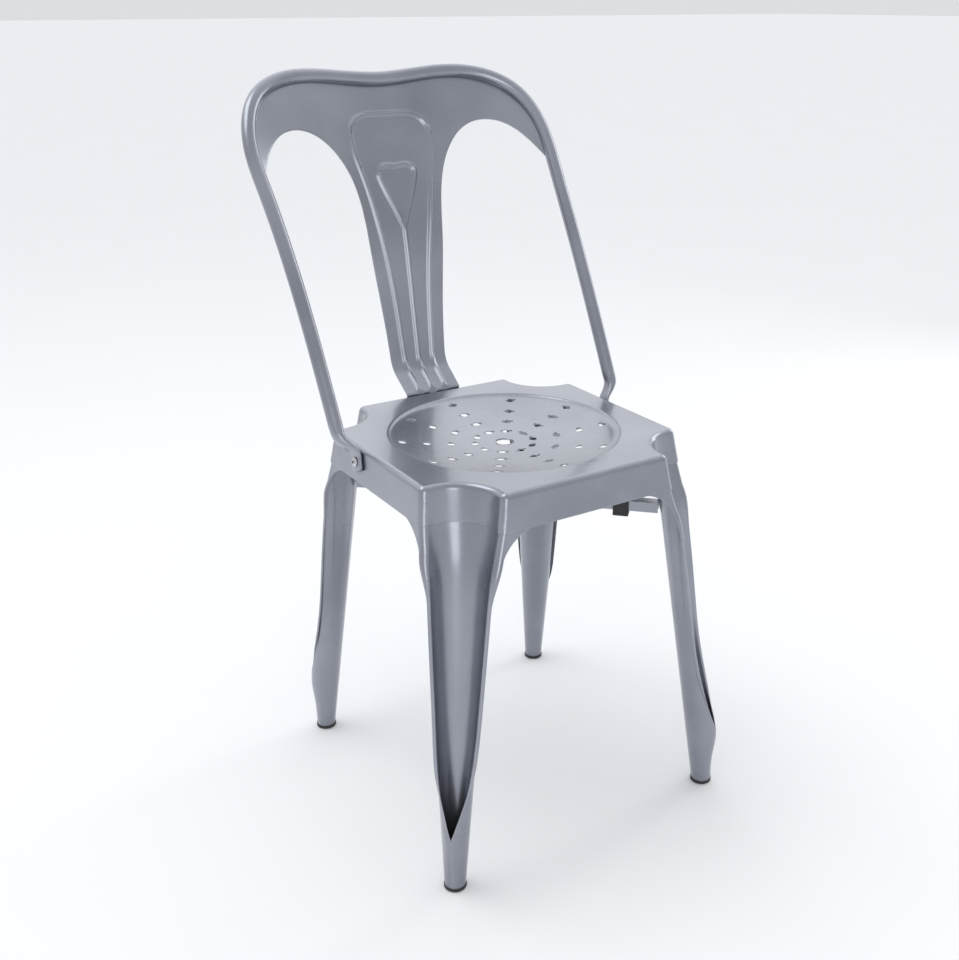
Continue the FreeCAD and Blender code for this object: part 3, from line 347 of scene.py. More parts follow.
def finish_material(name, **look):
    """One finish of the chair. The shader stays here, and the shared groups give its masks."""
    material = bpy.data.materials.new(name)
    tree = cleared(material)
    grain = node(tree, "ShaderNodeGroup", look["grain"], node_tree=SURFACE_GRAIN).outputs
    wear = node(tree, "ShaderNodeGroup", look["wear"], node_tree=EDGE_WEAR_AND_CORNER_SHADE).outputs
    mottle = value_range(tree, grain["Mottle"], MOTTLE_RANGE, (0.0, 1.0))
    colour = colour_mix(tree, mottle, look["dark"], look["light"])
    sparkle = value_range(tree, grain["Flake"], FLAKE_RANGE, (0.0, look["sparkle"]))
    colour = colour_mix(tree, sparkle, colour, look["flake"])
    colour = colour_mix(tree, wear["Wear"], colour, look["worn"])
    # Painted shade: corners and seams take the corner colour. It is dark on the lacquer and the zinc, and a
    # pale dust on the rubber.
    dusty = math_node(tree, "MULTIPLY", wear["Corner Shade And Dust"], look["dust_share"])
    colour = colour_mix(tree, dusty, colour, look["dust"])
    rough = value_range(tree, grain["Mottle"], MOTTLE_RANGE, look["roughness"])
    dust_rough = math_node(tree, "MULTIPLY", wear["Corner Shade And Dust"], DUST_ROUGHNESS)
    bump = node(tree, "ShaderNodeBump", {
        "Height": grain["Height"],
        "Strength": look["bump"],
        "Distance": look["bump_depth"],
        "Normal": wear["Edge Normal"],
    })
    shader = node(tree, "ShaderNodeBsdfPrincipled", {
        "Base Color": colour,
        "Roughness": math_node(tree, "ADD", rough, dust_rough, clamp=True),
        "Normal": bump.outputs["Normal"],
        "Metallic": look["metallic"],
        "Coat Weight": look["coat"],
        "Coat Roughness": look["coat_roughness"],
    })
    node(tree, "ShaderNodeOutputMaterial", {"Surface": shader.outputs["BSDF"]})
    return material


LACQUER = finish_material(
    "silver_lacquer",
    grain={"Flake Scale": 2600.0, "Mottle Scale": 9.0, "Ripple Scale": 70.0, "Flake Share": 0.30},
    wear={"Edge Width": 0.0014, "Amount": 0.7, "Patch Scale": 70.0},
    dark=(0.215, 0.226, 0.262, 1),
    light=(0.296, 0.309, 0.353, 1),
    flake=(0.55, 0.57, 0.63, 1),
    worn=(0.62, 0.64, 0.68, 1),
    # Painted shade for the corners and seams.
    dust=(0.07, 0.072, 0.08, 1),
    dust_share=0.55,
    sparkle=0.22,
    roughness=(0.24, 0.31),
    bump=0.05,
    bump_depth=0.0006,
    metallic=0.84,
    coat=0.45,
    coat_roughness=0.09,
)
ZINC = finish_material(
    "bright_zinc",
    grain={"Flake Scale": 1800.0, "Mottle Scale": 160.0, "Ripple Scale": 900.0, "Flake Share": 0.5},
    wear={"Edge Width": 0.0006, "Amount": 0.5, "Patch Scale": 300.0},
    dark=(0.42, 0.43, 0.45, 1),
    light=(0.66, 0.67, 0.69, 1),
    flake=(0.82, 0.82, 0.80, 1),
    worn=(0.86, 0.86, 0.84, 1),
    # Painted shade for the corners and seams.
    dust=(0.05, 0.05, 0.052, 1),
    dust_share=0.8,
    sparkle=0.3,
    roughness=(0.16, 0.30),
    bump=0.10,
    bump_depth=0.0002,
    metallic=1.0,
    coat=0.0,
    coat_roughness=0.1,
)
RUBBER = finish_material(
    "black_rubber",
    grain={"Flake Scale": 1500.0, "Mottle Scale": 40.0, "Ripple Scale": 420.0, "Flake Share": 0.6},
    wear={"Edge Width": 0.0015, "Amount": 0.6, "Patch Scale": 120.0},
    dark=(0.012, 0.012, 0.013, 1),
    light=(0.030, 0.030, 0.032, 1),
    flake=(0.06, 0.06, 0.06, 1),
    worn=(0.10, 0.10, 0.10, 1),
    dust=(0.09, 0.085, 0.08, 1),
    dust_share=0.35,
    sparkle=0.25,
    roughness=(0.55, 0.75),
    bump=0.25,
    bump_depth=0.0004,
    metallic=0.0,
    coat=0.0,
    coat_roughness=0.3,
)
FINISHES = {"lacquered_steel": LACQUER, "fastener_steel": ZINC, "rubber": RUBBER}


# Meshes and pieces.


def new_object(name, data):
    """An object made of the data, placed in the scene."""
    item = bpy.data.objects.new(name, data)
    bpy.context.scene.collection.objects.link(item)
    return item


def shade_smooth(mesh, sharp):
    """Smooth shading. An edge that turns by more than the angle sharp stays sharp."""
    mesh.polygons.foreach_set("use_smooth", [True] * len(mesh.polygons))
    if sharp:
        mesh.set_sharp_from_angle(angle=sharp)


def piece_from_mesh(name, mesh, nodes, sharp=0.7, slot="lacquered_steel"):
    """A finished piece of the chair, which replaces the nodes."""
    mesh.name = name
    mesh.materials.clear()
    mesh.materials.append(FINISHES[slot])
    shade_smooth(mesh, sharp)
    piece = new_object(name, mesh)
    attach(piece, "root")
    if nodes:
        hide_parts(*nodes)


def outward(mesh):
    """Merges the mesh's doubles and points its faces out."""
    shape = bmesh.new()
    shape.from_mesh(mesh)
    bmesh.ops.remove_doubles(shape, verts=shape.verts, dist=1e-7)
    bmesh.ops.recalc_face_normals(shape, faces=shape.faces)
    shape.to_mesh(mesh)
    shape.free()


def mesh_of(points, faces, closed=True, edges=()):
    """A mesh of points, faces and loose edges. A closed one gets its faces pointed out."""
    mesh = bpy.data.meshes.new("shape")
    mesh.from_pydata([tuple(point) for point in points], edges, faces)
    mesh.validate()
    if closed:
        outward(mesh)
    return mesh


def mesh_from(shape):
    """The shape as a mesh, its faces pointing out. The shape is freed."""
    bmesh.ops.recalc_face_normals(shape, faces=shape.faces)
    mesh = bpy.data.meshes.new("shape")
    shape.to_mesh(mesh)
    shape.free()
    return mesh


def evaluated_mesh(holder):
    """The holder's mesh as its modifiers leave it. The holder goes."""
    bpy.context.view_layer.update()
    graph = bpy.context.evaluated_depsgraph_get()
    result = bpy.data.meshes.new_from_object(holder.evaluated_get(graph))
    holder.modifiers.clear()
    bpy.data.objects.remove(holder)
    return result


def after_modifiers(mesh, *modifiers):
    """The mesh as the modifiers leave it. Each modifier is a kind and its settings."""
    holder = new_object("holder", mesh)
    for kind, settings in modifiers:
        modifier = holder.modifiers.new(kind.title(), kind)
        for label, value in settings.items():
            setattr(modifier, label, value)
    return evaluated_mesh(holder)


def wrap_faces(rows, size):
    """Faces between rings of points, each ring closed on itself."""
    faces = []
    for row in range(rows - 1):
        for k in range(size):
            after = (k + 1) % size
            faces.append((row * size + k, row * size + after, (row + 1) * size + after, (row + 1) * size + k))
    return faces


# The legs.


def apron_flare(height):
    """How far the sloping apron stands out past the seat's edge at a height."""
    return (SEAT_HEIGHT - height) * tan(DRAFT)


def knee_round(height):
    """How far the leg's corner at the knee is rounded off, for a change of slope of one."""
    away = abs(height - KNEE[1])
    return (hypot(away, KNEE_ROUND) - away) / 2 * smooth((SEAM_Z - height) / SEAM_FADE)


def trough_at(height, foot):
    """Middle and radius of the leg's trough, in the leg's own frame: out along the corner, and sideways."""
    seam_radius = NOTCH_RADIUS - apron_flare(SEAM_Z) + APRON_INSET
    if height >= SEAM_Z:
        return NOTCH_HUB, 0.0, NOTCH_RADIUS - apron_flare(height) + APRON_INSET
    reach, knee_z, knee_radius = KNEE
    above, below = SEAM_Z - knee_z, knee_z - FOOT_Z
    rounding = knee_round(height)
    out = rounding * ((NOTCH_HUB - reach) / above - (reach - foot[0]) / below)
    grow = rounding * ((seam_radius - knee_radius) / above - (knee_radius - FOOT_RADIUS) / below)
    if height >= knee_z:
        share = (SEAM_Z - height) / above
        radius = seam_radius + (knee_radius - seam_radius) * share
        return NOTCH_HUB + (reach - NOTCH_HUB) * share + out, 0.0, radius + grow
    share = (knee_z - height) / below
    radius = knee_radius + (FOOT_RADIUS - knee_radius) * share
    return reach + (foot[0] - reach) * share + out, foot[1] * share, radius + grow


def ridge_angle(height, foot):
    """Where the trough ends and the ridge's bend begins, in radians from the trough's bottom."""
    middle, _, radius = trough_at(height, foot)
    bend = RIDGE_ROUND - APRON_INSET
    base = sqrt(2) * (SEAT_HALF + apron_flare(height) - APRON_INSET - bend)
    spread = (middle + base) ** 2 - 2 * (middle ** 2 + base ** 2 - (radius + bend) ** 2)
    pivot = (middle + base - sqrt(spread)) / 2
    return atan2(base - pivot, middle - pivot)


def flange_length(height):
    """How far the flange runs on past the bend. Below the apron it is cut to the gusset's round hollow."""
    if height > SEAM_Z:
        return GUSSET_LENGTH
    curve = (GUSSET_LENGTH ** 2 + GUSSET_DROP ** 2) / (2 * GUSSET_DROP)
    rise = height - (SEAM_Z - curve)
    if rise <= 0:
        return EDGE_STUB
    return max(GUSSET_LENGTH - sqrt(max(curve ** 2 - rise ** 2, 0)), EDGE_STUB)


def leg_section(height, foot):
    """The leg's outer-facing skin at one level: flange, bend, trough, bend, flange."""
    trough_steps, bend_steps, flange_steps, crowding = 20, 8, 6, 1.3
    middle, across, radius = trough_at(height, foot)
    lower = smooth((GUSSET_Z - height) / GUSSET_FADE)
    ankle = smooth((ANKLE_Z - height) / ANKLE_FADE)
    beak = table(BEAK, height)
    if height > GUSSET_Z:
        opening = ridge_angle(height, foot)
    else:
        opening = radians(table(MOUTH, height))
    bend = (RIDGE_ROUND - APRON_INSET) * (1 - lower) + SHAFT_BEND * lower
    bend = bend * (1 - ankle) + ANKLE_BEND * ankle
    last_way = radians(RIDGE_TURN + (SHAFT_TURN - RIDGE_TURN) * lower) * (1 - ankle)
    last_way += (pi / 2 - opening + ANKLE_CURL) * ankle
    half = []
    for k in range(trough_steps + 1):
        angle = opening * k / trough_steps
        stretch = 1 + beak * smooth((angle - pi / 2) / (pi / 2))
        side = radius * sin(angle) * (1 - BEAK_PINCH * (stretch - 1))
        half.append((-radius * stretch * cos(angle), side))
    here = Vector(half[-1])
    way = pi / 2 - opening
    if beak:
        way = atan2(half[-1][1] - half[-2][1], half[-1][0] - half[-2][0])
    turn = max(last_way - way, 0.1)
    chord = 2 * bend * sin(turn / (2 * bend_steps))
    for k in range(1, bend_steps + 1):
        step = way + turn * (k - 0.5) / bend_steps
        here = here + Vector((cos(step), sin(step))) * chord
        half.append(tuple(here))
    last = Vector((cos(way + turn), sin(way + turn)))
    length = flange_length(height)
    for k in range(1, flange_steps + 1):
        half.append(tuple(here + last * length * (k / flange_steps) ** crowding))
    section = [(x, -y) for x, y in half[:0:-1]] + half
    return [(middle + x, across + y, height) for x, y in section]


def sheet_from_grid(grid, thick, towards):
    """A closed sheet with rounded side edges, from points on one skin. The other faces the point towards."""
    grid = np.array(grid, float)
    normal = unit(np.cross(np.gradient(grid, axis=1), np.gradient(grid, axis=0)))
    rows, columns = grid.shape[:2]
    middle = (rows // 2, columns // 2)
    if np.dot(normal[middle], np.array(towards) - grid[middle]) < 0:
        normal = -normal
    half = thick / 2
    between = 3
    turns = [pi * k / (between + 1) for k in range(1, between + 1)]
    points = []
    for line, out in zip(grid, normal):
        first = unit(line[0] - line[1]) * half
        last = unit(line[-1] - line[-2]) * half
        deep = out * half
        end = [line[-1] + last * sin(turn) + deep[-1] * (1 - cos(turn)) for turn in turns]
        start = [line[0] + first * sin(turn) + deep[0] * (1 + cos(turn)) for turn in turns]
        points += list(line) + end + list(line + out * thick)[::-1] + start
    size = 2 * (columns + between)
    faces = wrap_faces(rows, size)
    # The sheet's two cut ends: strips between the skins, and a round at each side.
    for row, flipped in ((0, False), (rows - 1, True)):
        base = row * size
        for k in range(columns - 1):
            far = 2 * columns + between - 1 - k
            cap = (base + k + 1, base + k, base + far, base + far - 1)
            faces.append(cap[::-1] if flipped else cap)
        for corner in (columns - 1, 2 * columns + between - 1):
            rim = [base + (corner + step) % size for step in range(between + 2)]
            faces.append(rim if flipped else rim[::-1])
    return mesh_of(points, faces)


def rolled_leg(corner):
    """Each leg is one sheet: a trough under the seat's notch that rolls in to a tube above the foot."""
    direction, reach, across = FEET[corner]
    # The levels of the sheet's rows: closest together where the gusset begins.
    heights = [LEG_TOP, 424]
    heights += [SEAM_Z - drop for drop in (0, 0.15, 0.5, 1, 1.8, 3, 4.5, 6.5, 9, 12, 15.5, 19, 23, 27)]
    heights += list(np.arange(GUSSET_Z, 200, -6.0)) + list(np.arange(200, 30, -3.5)) + [28, 20, 12, FOOT_Z]
    grid = turned([leg_section(height, (reach, across)) for height in heights], radians(direction))
    mesh = sheet_from_grid(seat_frame(grid), SHEET / 1000, seat_frame([0, 0, 250]))
    piece_from_mesh(corner + "_rolled_leg", mesh, [corner + "_leg"])


# The back.


def bend_on(line, heading, bend, goal, steps=10):
    """Carries a line on round a bend until it heads for the goal, and gives its heading."""
    z, y = line[-1]
    turn = (goal - heading) / steps
    chord = 2 * bend * sin(abs(turn) / 2)
    for _ in range(steps):
        heading += turn / 2
        y += chord * cos(heading)
        z += chord * sin(heading)
        heading += turn / 2
        line.append((z, y))
    return heading


def middle_profile():
    """The back panel's front skin in the middle, as heights and depths from the foot up."""
    y = SEAT_HALF + apron_flare(PANEL_FOOT) + SHEET_GAP / cos(DRAFT)
    rise = SEAT_HEIGHT - SHEET_GAP - PANEL_FOOT
    line = [(PANEL_FOOT + rise * k / 4, y - rise * k / 4 * tan(DRAFT)) for k in range(5)]
    heading = bend_on(line, pi / 2 + DRAFT, FOLD_BEND, RAMP)
    z, y = line[-1]
    line.append((z + RAMP_LENGTH * sin(heading), y + RAMP_LENGTH * cos(heading)))
    bend_on(line, heading, RAMP_BEND, UPRIGHT)
    z, y = line[-1]
    y += (CURVE_START - z) / tan(UPRIGHT)
    line.append((CURVE_START, y))
    centre_y = y + CURVE_RADIUS * sin(UPRIGHT)
    centre_z = CURVE_START - CURVE_RADIUS * cos(UPRIGHT)
    curve = range(CURVE_START + 4, CURVE_START + 240, 4)
    return np.array(line + [(z, centre_y - sqrt(CURVE_RADIUS ** 2 - (z - centre_z) ** 2)) for z in curve])


PROFILE = middle_profile()
SLOPE = np.gradient(PROFILE[:, 1]) / np.gradient(PROFILE[:, 0])


def panel_skin(x, z, lift):
    """A point of the panel's front skin, raised square to the sheet. The wings bend forward."""
    y = float(np.interp(z, PROFILE[:, 0], PROFILE[:, 1]))
    above = z - DISH_FADE_Z
    depth = DISH_DEPTH - DISH_FADE * (above + hypot(above, DISH_FADE_ROUND))
    y -= depth * smooth((z - DISH_START) / DISH_RUN) * (x / DISH_HALF_WIDTH) ** 2
    slope = float(np.interp(z, PROFILE[:, 0], SLOPE)) if z > SEAT_HEIGHT else 0.0
    share = lift / sqrt(1 + slope * slope)
    return (x, y - share, z + share * slope)


def distance_to(line, points):
    """Distance of each point to a line of points, both flat."""
    best = np.full(len(points), 1e9)
    for start, end in zip(line[:-1], line[1:]):
        run = end - start
        share = np.clip(((points - start) @ run) / max(run @ run, 1e-9), 0, 1)
        best = np.minimum(best, np.linalg.norm(points - start - share[:, None] * run, axis=1))
    return best


def hoop_line(count):
    """The middle line of the hoop's tube above its feet, from right to left."""
    return curve_through(both_sides(HOOP_PLACES + [RAIL]), count)


def panel_outline():
    """The panel's outline from the front: right edge, the hoop's middle line over the top, left edge."""
    edge = curve_through(PANEL_EDGE, 260)
    hoop = hoop_line(600)[:, [0, 2]]
    covered = hoop[hoop[:, 1] > WING_TIP_Z][::2]
    return np.vstack([edge, covered, edge[::-1] * (-1, 1)])


def points_along(line):
    """Rows of points beside a rib, closest together on its crest."""
    offsets = (-5.4, -4.2, -3.1, -2.1, -1.1, 0, 1.1, 2.1, 3.1, 4.2, 5.4)
    marks = marks_along(line)

    def spot(mark):
        return np.array([np.interp(mark, marks, line[:, k]) for k in (0, 1)])

    points = []
    step, probe = 1.6, 0.5
    for mark in np.arange(0, marks[-1], step):
        run = spot(mark + probe) - spot(mark - probe)
        side = np.array([-run[1], run[0]])
        side /= max(np.linalg.norm(side), 1e-9)
        points += [spot(mark) + side * offset for offset in offsets]
    return points


def panel_points(outline, ribs):
    """Points inside the panel's outline: a plain grid, closer at the fold, and rows along the ribs."""
    rib_room, edge_room, cell = 6.4, 0.8, 0.9
    bands = ((425.5, 449, 4), (449.5, 453, 0.6), (454, 493, 1.6), (495, 815, 3))
    levels = np.concatenate([np.arange(*band) for band in bands])
    inside = np.array([(x, z) for z in levels for x in np.arange(-186, 186.1, 3)])
    gap = np.min([distance_to(line, inside) for line in ribs], axis=0)
    fine = [point for line in ribs for point in points_along(line)]
    cells = {}
    for point in np.vstack([inside[gap > rib_room], fine]):
        cells.setdefault((round(point[0] / cell), round(point[1] / cell)), point)
    loose = np.array(list(cells.values()))
    return loose[distance_to(np.vstack([outline, outline[:1]]), loose) > edge_room]


def back_panel():
    """One pressed sheet: a narrow splat with raised ribs that spreads into two wings under the hoop."""
    ribs = [
        curve_through(both_sides(OUTER_RIB), 260),
        curve_through(both_sides(EYE_RIB), 120),
        np.array(STRAIGHT_RIB, float),
    ]
    outline = panel_outline()
    flat = [Vector(point) for point in np.vstack([outline, panel_points(outline, ribs)])]
    result = delaunay_2d_cdt(flat, [], [list(range(len(outline)))], 1, 1e-5)
    points = np.array([(point.x, point.y) for point in result[0]])
    gap = np.min([distance_to(line, points) for line in ribs], axis=0)
    lifts = RIB_LIFT * np.exp(-(gap / RIB_SPREAD) ** 2)
    solid = [panel_skin(x, z, lift) for (x, z), lift in zip(points, lifts)]
    mesh = mesh_of(seat_frame(solid), [tuple(face) for face in result[2]], closed=False)
    if sum(polygon.normal.y for polygon in mesh.polygons) > 0:
        mesh.flip_normals()
    mesh = after_modifiers(
        mesh,
        ("SOLIDIFY", {"thickness": SHEET / 1000, "offset": -1, "use_even_offset": True}),
        ("BEVEL", {"width": 0.0004, "segments": 2, "limit_method": "ANGLE", "angle_limit": 1.2}),
    )
    piece_from_mesh("pressed_back_panel", mesh, ["back_panel"])


def hoop_foot(side):
    """The bolt's place in the hoop's foot, the way out of the apron there, and the way up the foot."""
    y, z = HOOP_BOLT
    spot = np.array([side * (SEAT_HALF + apron_flare(z)), y, z])
    out = np.array([side * cos(DRAFT), 0, sin(DRAFT)])
    up = np.array([-side * sin(DRAFT), 0, cos(DRAFT)])
    return spot + out * TAB_LIFT, out, up * cos(TAB_LEAN) + np.array([0, 1, 0]) * sin(TAB_LEAN)


def hoop_path():
    """The tube's middle line: a foot, a curved neck, the hoop, and the same again in mirror."""
    line = hoop_line(420)
    start, _, way = hoop_foot(1)
    right = [start + way * step for step in (-10.4, -10.0, -9.2, -8, -6.5, -4, 0, 3, 6)]
    root, kink = right[-1], line[0]
    root_reach, kink_reach, steps = 9, 13, 17
    root_pull = root + way * root_reach
    kink_pull = kink - unit(line[1] - line[0]) * kink_reach
    for k in range(1, steps):
        share = k / steps
        rest = 1 - share
        near = rest ** 3 * root + 3 * rest ** 2 * share * root_pull
        right.append(near + 3 * rest * share ** 2 * kink_pull + share ** 3 * kink)
    return np.array(right + list(line) + [point * (-1, 1, 1) for point in right[::-1]])


def tube_ring(point, across, normal, from_end):
    """The tube's outline at one place: round, or pressed flat towards its end."""
    flat = 1 - smooth((from_end - TAB_LENGTH) / TAB_FADE)
    wide = TUBE_RADIUS + (TAB_HALF_WIDTH - TUBE_RADIUS) * flat
    thin = TUBE_RADIUS + (TAB_HALF_THICK - TUBE_RADIUS) * flat
    if from_end < TAB_ROUND:
        wide -= TAB_ROUND - sqrt(max(TAB_ROUND ** 2 - (TAB_ROUND - from_end) ** 2, 0))
    power = 1 - TAB_SQUARE * flat
    ring = []
    for j in range(TUBE_SIDES):
        angle = 2 * pi * j / TUBE_SIDES
        cosine, sine = cos(angle), sin(angle)
        sideways = across * wide * copysign(abs(cosine) ** power, cosine)
        ring.append(point + sideways + normal * thin * copysign(abs(sine) ** power, sine))
    return ring


def back_hoop():
    """The bent tube. Its ends are pressed flat to tabs that are bolted to the sides of the apron."""
    path = hoop_path()
    ahead = unit(np.gradient(path, axis=0))
    marks = marks_along(path)
    normal, last_out = hoop_foot(1)[1], hoop_foot(-1)[1]
    turn_start, turn_run = 60, 30
    points = []
    for point, direction, mark in zip(path, ahead, marks):
        normal = unit(normal - direction * (normal @ direction))
        to_end = marks[-1] - mark
        # The last foot turns until it lies flat on its own side of the apron.
        if to_end < turn_start:
            wanted = unit(last_out - direction * (last_out @ direction))
            if wanted @ normal < 0:
                wanted = -wanted
            share = smooth((turn_start - to_end) / turn_run)
            normal = unit(normal * (1 - share) + wanted * share)
        points += tube_ring(point, np.cross(direction, normal), normal, min(mark, to_end))
    faces = wrap_faces(len(path), TUBE_SIDES)
    faces.append(list(range(TUBE_SIDES))[::-1])
    faces.append(list(range(len(points) - TUBE_SIDES, len(points))))
    mesh = mesh_of(seat_frame(points), faces)
    piece_from_mesh("bent_back_hoop", mesh, ["back_hoop"])


# Repeats made by geometry nodes.


def geometry_tree(name, inputs):
    """A geometry node group with named inputs, each with its first value, and its inner ends."""
    kinds = {int: "NodeSocketInt", float: "NodeSocketFloat", tuple: "NodeSocketVector"}
    tree = bpy.data.node_groups.new(name, "GeometryNodeTree")
    for way in ("INPUT", "OUTPUT"):
        tree.interface.new_socket("Geometry", in_out=way, socket_type="NodeSocketGeometry")
    for label, value in inputs.items():
        socket = tree.interface.new_socket(label, in_out="INPUT", socket_type=kinds[type(value)])
        socket.default_value = value
    tree.interface.new_socket("Finish", in_out="INPUT", socket_type="NodeSocketMaterial")
    return tree, tree.nodes.new("NodeGroupInput").outputs, tree.nodes.new("NodeGroupOutput").inputs


def run_tree(mesh, tree, values):
    """The mesh that a geometry node group makes of a mesh and the values of its named inputs."""
    holder = new_object("holder", mesh)
    modifier = holder.modifiers.new("repeat", "NODES")
    modifier.node_group = tree
    for item in tree.interface.items_tree:
        if item.item_type == "SOCKET" and item.name in values:
            modifier[item.identifier] = values[item.name]
    return evaluated_mesh(holder)


def copies_on(tree, points, shape, turn, given, result):
    """Puts turned copies of a shape on points, makes them real, paints them and ends the tree."""
    inputs = {"Points": points, "Instance": shape, "Rotation": turn}
    copies = node(tree, "GeometryNodeInstanceOnPoints", inputs)
    realised = node(tree, "GeometryNodeRealizeInstances", {"Geometry": copies.outputs[0]})
    paint = {"Geometry": realised.outputs[0], "Material": given["Finish"]}
    tree.links.new(node(tree, "GeometryNodeSetMaterial", paint).outputs[0], result[0])


def wire_on(tree, path, sides, radius, capped):
    """A round wire along a curve."""
    profile = node(tree, "GeometryNodeCurvePrimitiveCircle", {"Resolution": sides, "Radius": radius})
    inputs = {"Curve": path.outputs[0], "Profile Curve": profile.outputs[0], "Fill Caps": capped}
    return node(tree, "GeometryNodeCurveToMesh", inputs).outputs[0]


def pair_tree():
    """Copies one fastener to both ends of a line, each with its own turn."""
    vectors = dict.fromkeys(("First Place", "Last Place", "First Turn", "Last Turn"), (0.0, 0.0, 0.0))
    tree, given, result = geometry_tree("fastener_pair", vectors)
    ends = {"Count": 2, "Start Location": given["First Place"], "Offset": given["Last Place"]}
    line = node(tree, "GeometryNodeMeshLine", ends, mode="END_POINTS")
    index = node(tree, "GeometryNodeInputIndex").outputs[0]
    turns = {0: index, 4: given["First Turn"], 5: given["Last Turn"]}
    turn = node(tree, "ShaderNodeMix", turns, data_type="VECTOR")
    copies_on(tree, line.outputs[0], given["Geometry"], turn.outputs[1], given, result)
    return tree


def bolt_mesh(length):
    """A domed bolt with a six-sided socket, its head on the level at nought."""
    shape = bmesh.new()
    sides = 36
    shank, socket, depth, head, high, brim = 3.0, 2.0, 1.7, 5.5, 3.0, 0.9
    ball = (head ** 2 + (high - brim) ** 2) / (2 * (high - brim))
    outline = [(shank, -length), (shank, 0.0), (head - 0.15, 0.0), (head, 0.15), (head, 0.75)]
    for k in range(1, 9):
        out = head - (head - socket - 0.35) * k / 8
        outline.append((out, high - ball + sqrt(ball ** 2 - out ** 2)))
    top = outline[-1][1]
    outline += [(None, top - 0.05), (None, top - depth)]
    rings = []
    for radius, height in outline:
        ring = []
        for j in range(sides):
            angle = 2 * pi * j / sides
            # The last two rings are the socket's, flat on each of its six sides.
            out = radius or socket * cos(pi / 6) / cos(angle % (pi / 3) - pi / 6)
            ring.append(shape.verts.new((out * cos(angle), out * sin(angle), height)))
        rings.append(ring)
    for low, upper in zip(rings, rings[1:]):
        for j in range(sides):
            after = (j + 1) % sides
            shape.faces.new((low[j], low[after], upper[after], upper[j]))
    shape.faces.new(rings[0][::-1])
    shape.faces.new(rings[-1])
    bmesh.ops.scale(shape, vec=(0.001, 0.001, 0.001), verts=shape.verts)
    return mesh_from(shape)


def bolts():
    """The bolts of the hoop's feet and of the panel's tab, each head on the sheets that its bolt holds."""
    tree = pair_tree()
    tilt = pi / 2 - DRAFT

    def head_spot(height, stack):
        return SEAT_HALF + apron_flare(height) + stack * cos(DRAFT), height + stack * sin(DRAFT)

    x, z = head_spot(HOOP_BOLT[1], 2 * TAB_LIFT)
    side = seat_frame([x, HOOP_BOLT[0], z])
    y, z = head_spot(PANEL_BOLT[1], SHEET + 2 * SHEET_GAP)
    rear = seat_frame([PANEL_BOLT[0], y, z])
    for name, place, length, turns in (
        ("hoop_bolt", side, 12.9, ((0.0, -tilt, 0.0), (0.0, tilt, 0.0))),
        ("panel_bolt", rear, 9.5, ((-tilt, 0.0, 0.0), (-tilt, 0.0, 0.0))),
    ):
        mesh = run_tree(bolt_mesh(length), tree, {
            "First Place": tuple(place * (-1, 1, 1)),
            "Last Place": tuple(place),
            "First Turn": turns[0],
            "Last Turn": turns[1],
            "Finish": ZINC,
        })
        piece_from_mesh(name + "s", mesh, [name + "_left", name + "_right"], 0.5, "fastener_steel")


def rim_tree():
    """A ring pressed round every perforation of the bowl: spokes of holes, each ring square to the bowl."""
    tree, given, result = geometry_tree("perforation_rims", {
        "Spokes": 10, "Rows": 4, "First Radius": 0.034, "Row Pitch": 0.028,
        "Bowl Radius": 0.66, "Bowl Middle": (0.0, 0.0, 1.0),
        "Rim Radius": 0.0048, "Wire Radius": 0.00062,
    })

    def calc(operation, *values):
        return math_node(tree, operation, *values)

    spokes, ball = given["Spokes"], given["Bowl Radius"]
    dots = node(tree, "GeometryNodeMeshLine", {"Count": calc("MULTIPLY", spokes, given["Rows"])}).outputs[0]
    index = node(tree, "GeometryNodeInputIndex").outputs[0]
    row = calc("FLOOR", calc("DIVIDE", index, spokes))
    spoke = calc("MODULO", index, spokes)
    angle = calc("ADD", calc("DIVIDE", calc("MULTIPLY", spoke, 2 * pi), spokes), pi / 2)
    reach = calc("ADD", given["First Radius"], calc("MULTIPLY", row, given["Row Pitch"]))
    drop = calc("SUBTRACT", calc("MULTIPLY", ball, ball), calc("MULTIPLY", reach, reach))
    spot = node(tree, "ShaderNodeCombineXYZ", {
        0: calc("MULTIPLY", reach, calc("COSINE", angle)),
        1: calc("MULTIPLY", reach, calc("SINE", angle)),
        2: calc("MULTIPLY", calc("SQRT", drop), -1.0),
    }).outputs[0]
    place = node(tree, "ShaderNodeVectorMath", {0: spot, 1: given["Bowl Middle"]}, operation="ADD")
    placed = node(tree, "GeometryNodeSetPosition", {"Geometry": dots, "Position": place.outputs[0]})
    inward = node(tree, "ShaderNodeVectorMath", {0: spot, "Scale": -1.0}, operation="SCALE")
    facing = node(tree, "FunctionNodeAlignEulerToVector", {"Vector": inward.outputs[0]}, axis="Z")
    ring = {"Resolution": HOLE_SIDES, "Radius": given["Rim Radius"]}
    circle = node(tree, "GeometryNodeCurvePrimitiveCircle", ring)
    bead = wire_on(tree, circle, 8, given["Wire Radius"], False)
    copies_on(tree, placed.outputs[0], bead, facing.outputs[0], given, result)
    return tree


def lip_tree():
    """A rounded lip along the line given, copied to the four corners of the seat."""
    tree, given, result = geometry_tree("apron_lips", {
        "Corners": 4,
        "Seat Middle": (0.0, 0.0, 0.0),
        "Lip Radius": 0.001,
    })
    path = node(tree, "GeometryNodeMeshToCurve", {"Mesh": given["Geometry"]})
    lip = wire_on(tree, path, 10, given["Lip Radius"], True)
    corners = given["Corners"]
    dots = node(tree, "GeometryNodeMeshLine", {"Count": corners}).outputs[0]
    placed = node(tree, "GeometryNodeSetPosition", {"Geometry": dots, "Position": given["Seat Middle"]})
    index = node(tree, "GeometryNodeInputIndex").outputs[0]
    angle = math_node(tree, "DIVIDE", math_node(tree, "MULTIPLY", index, 2 * pi), corners)
    turn = node(tree, "ShaderNodeCombineXYZ", {2: angle})
    copies_on(tree, placed.outputs[0], lip, turn.outputs[0], given, result)
    return tree


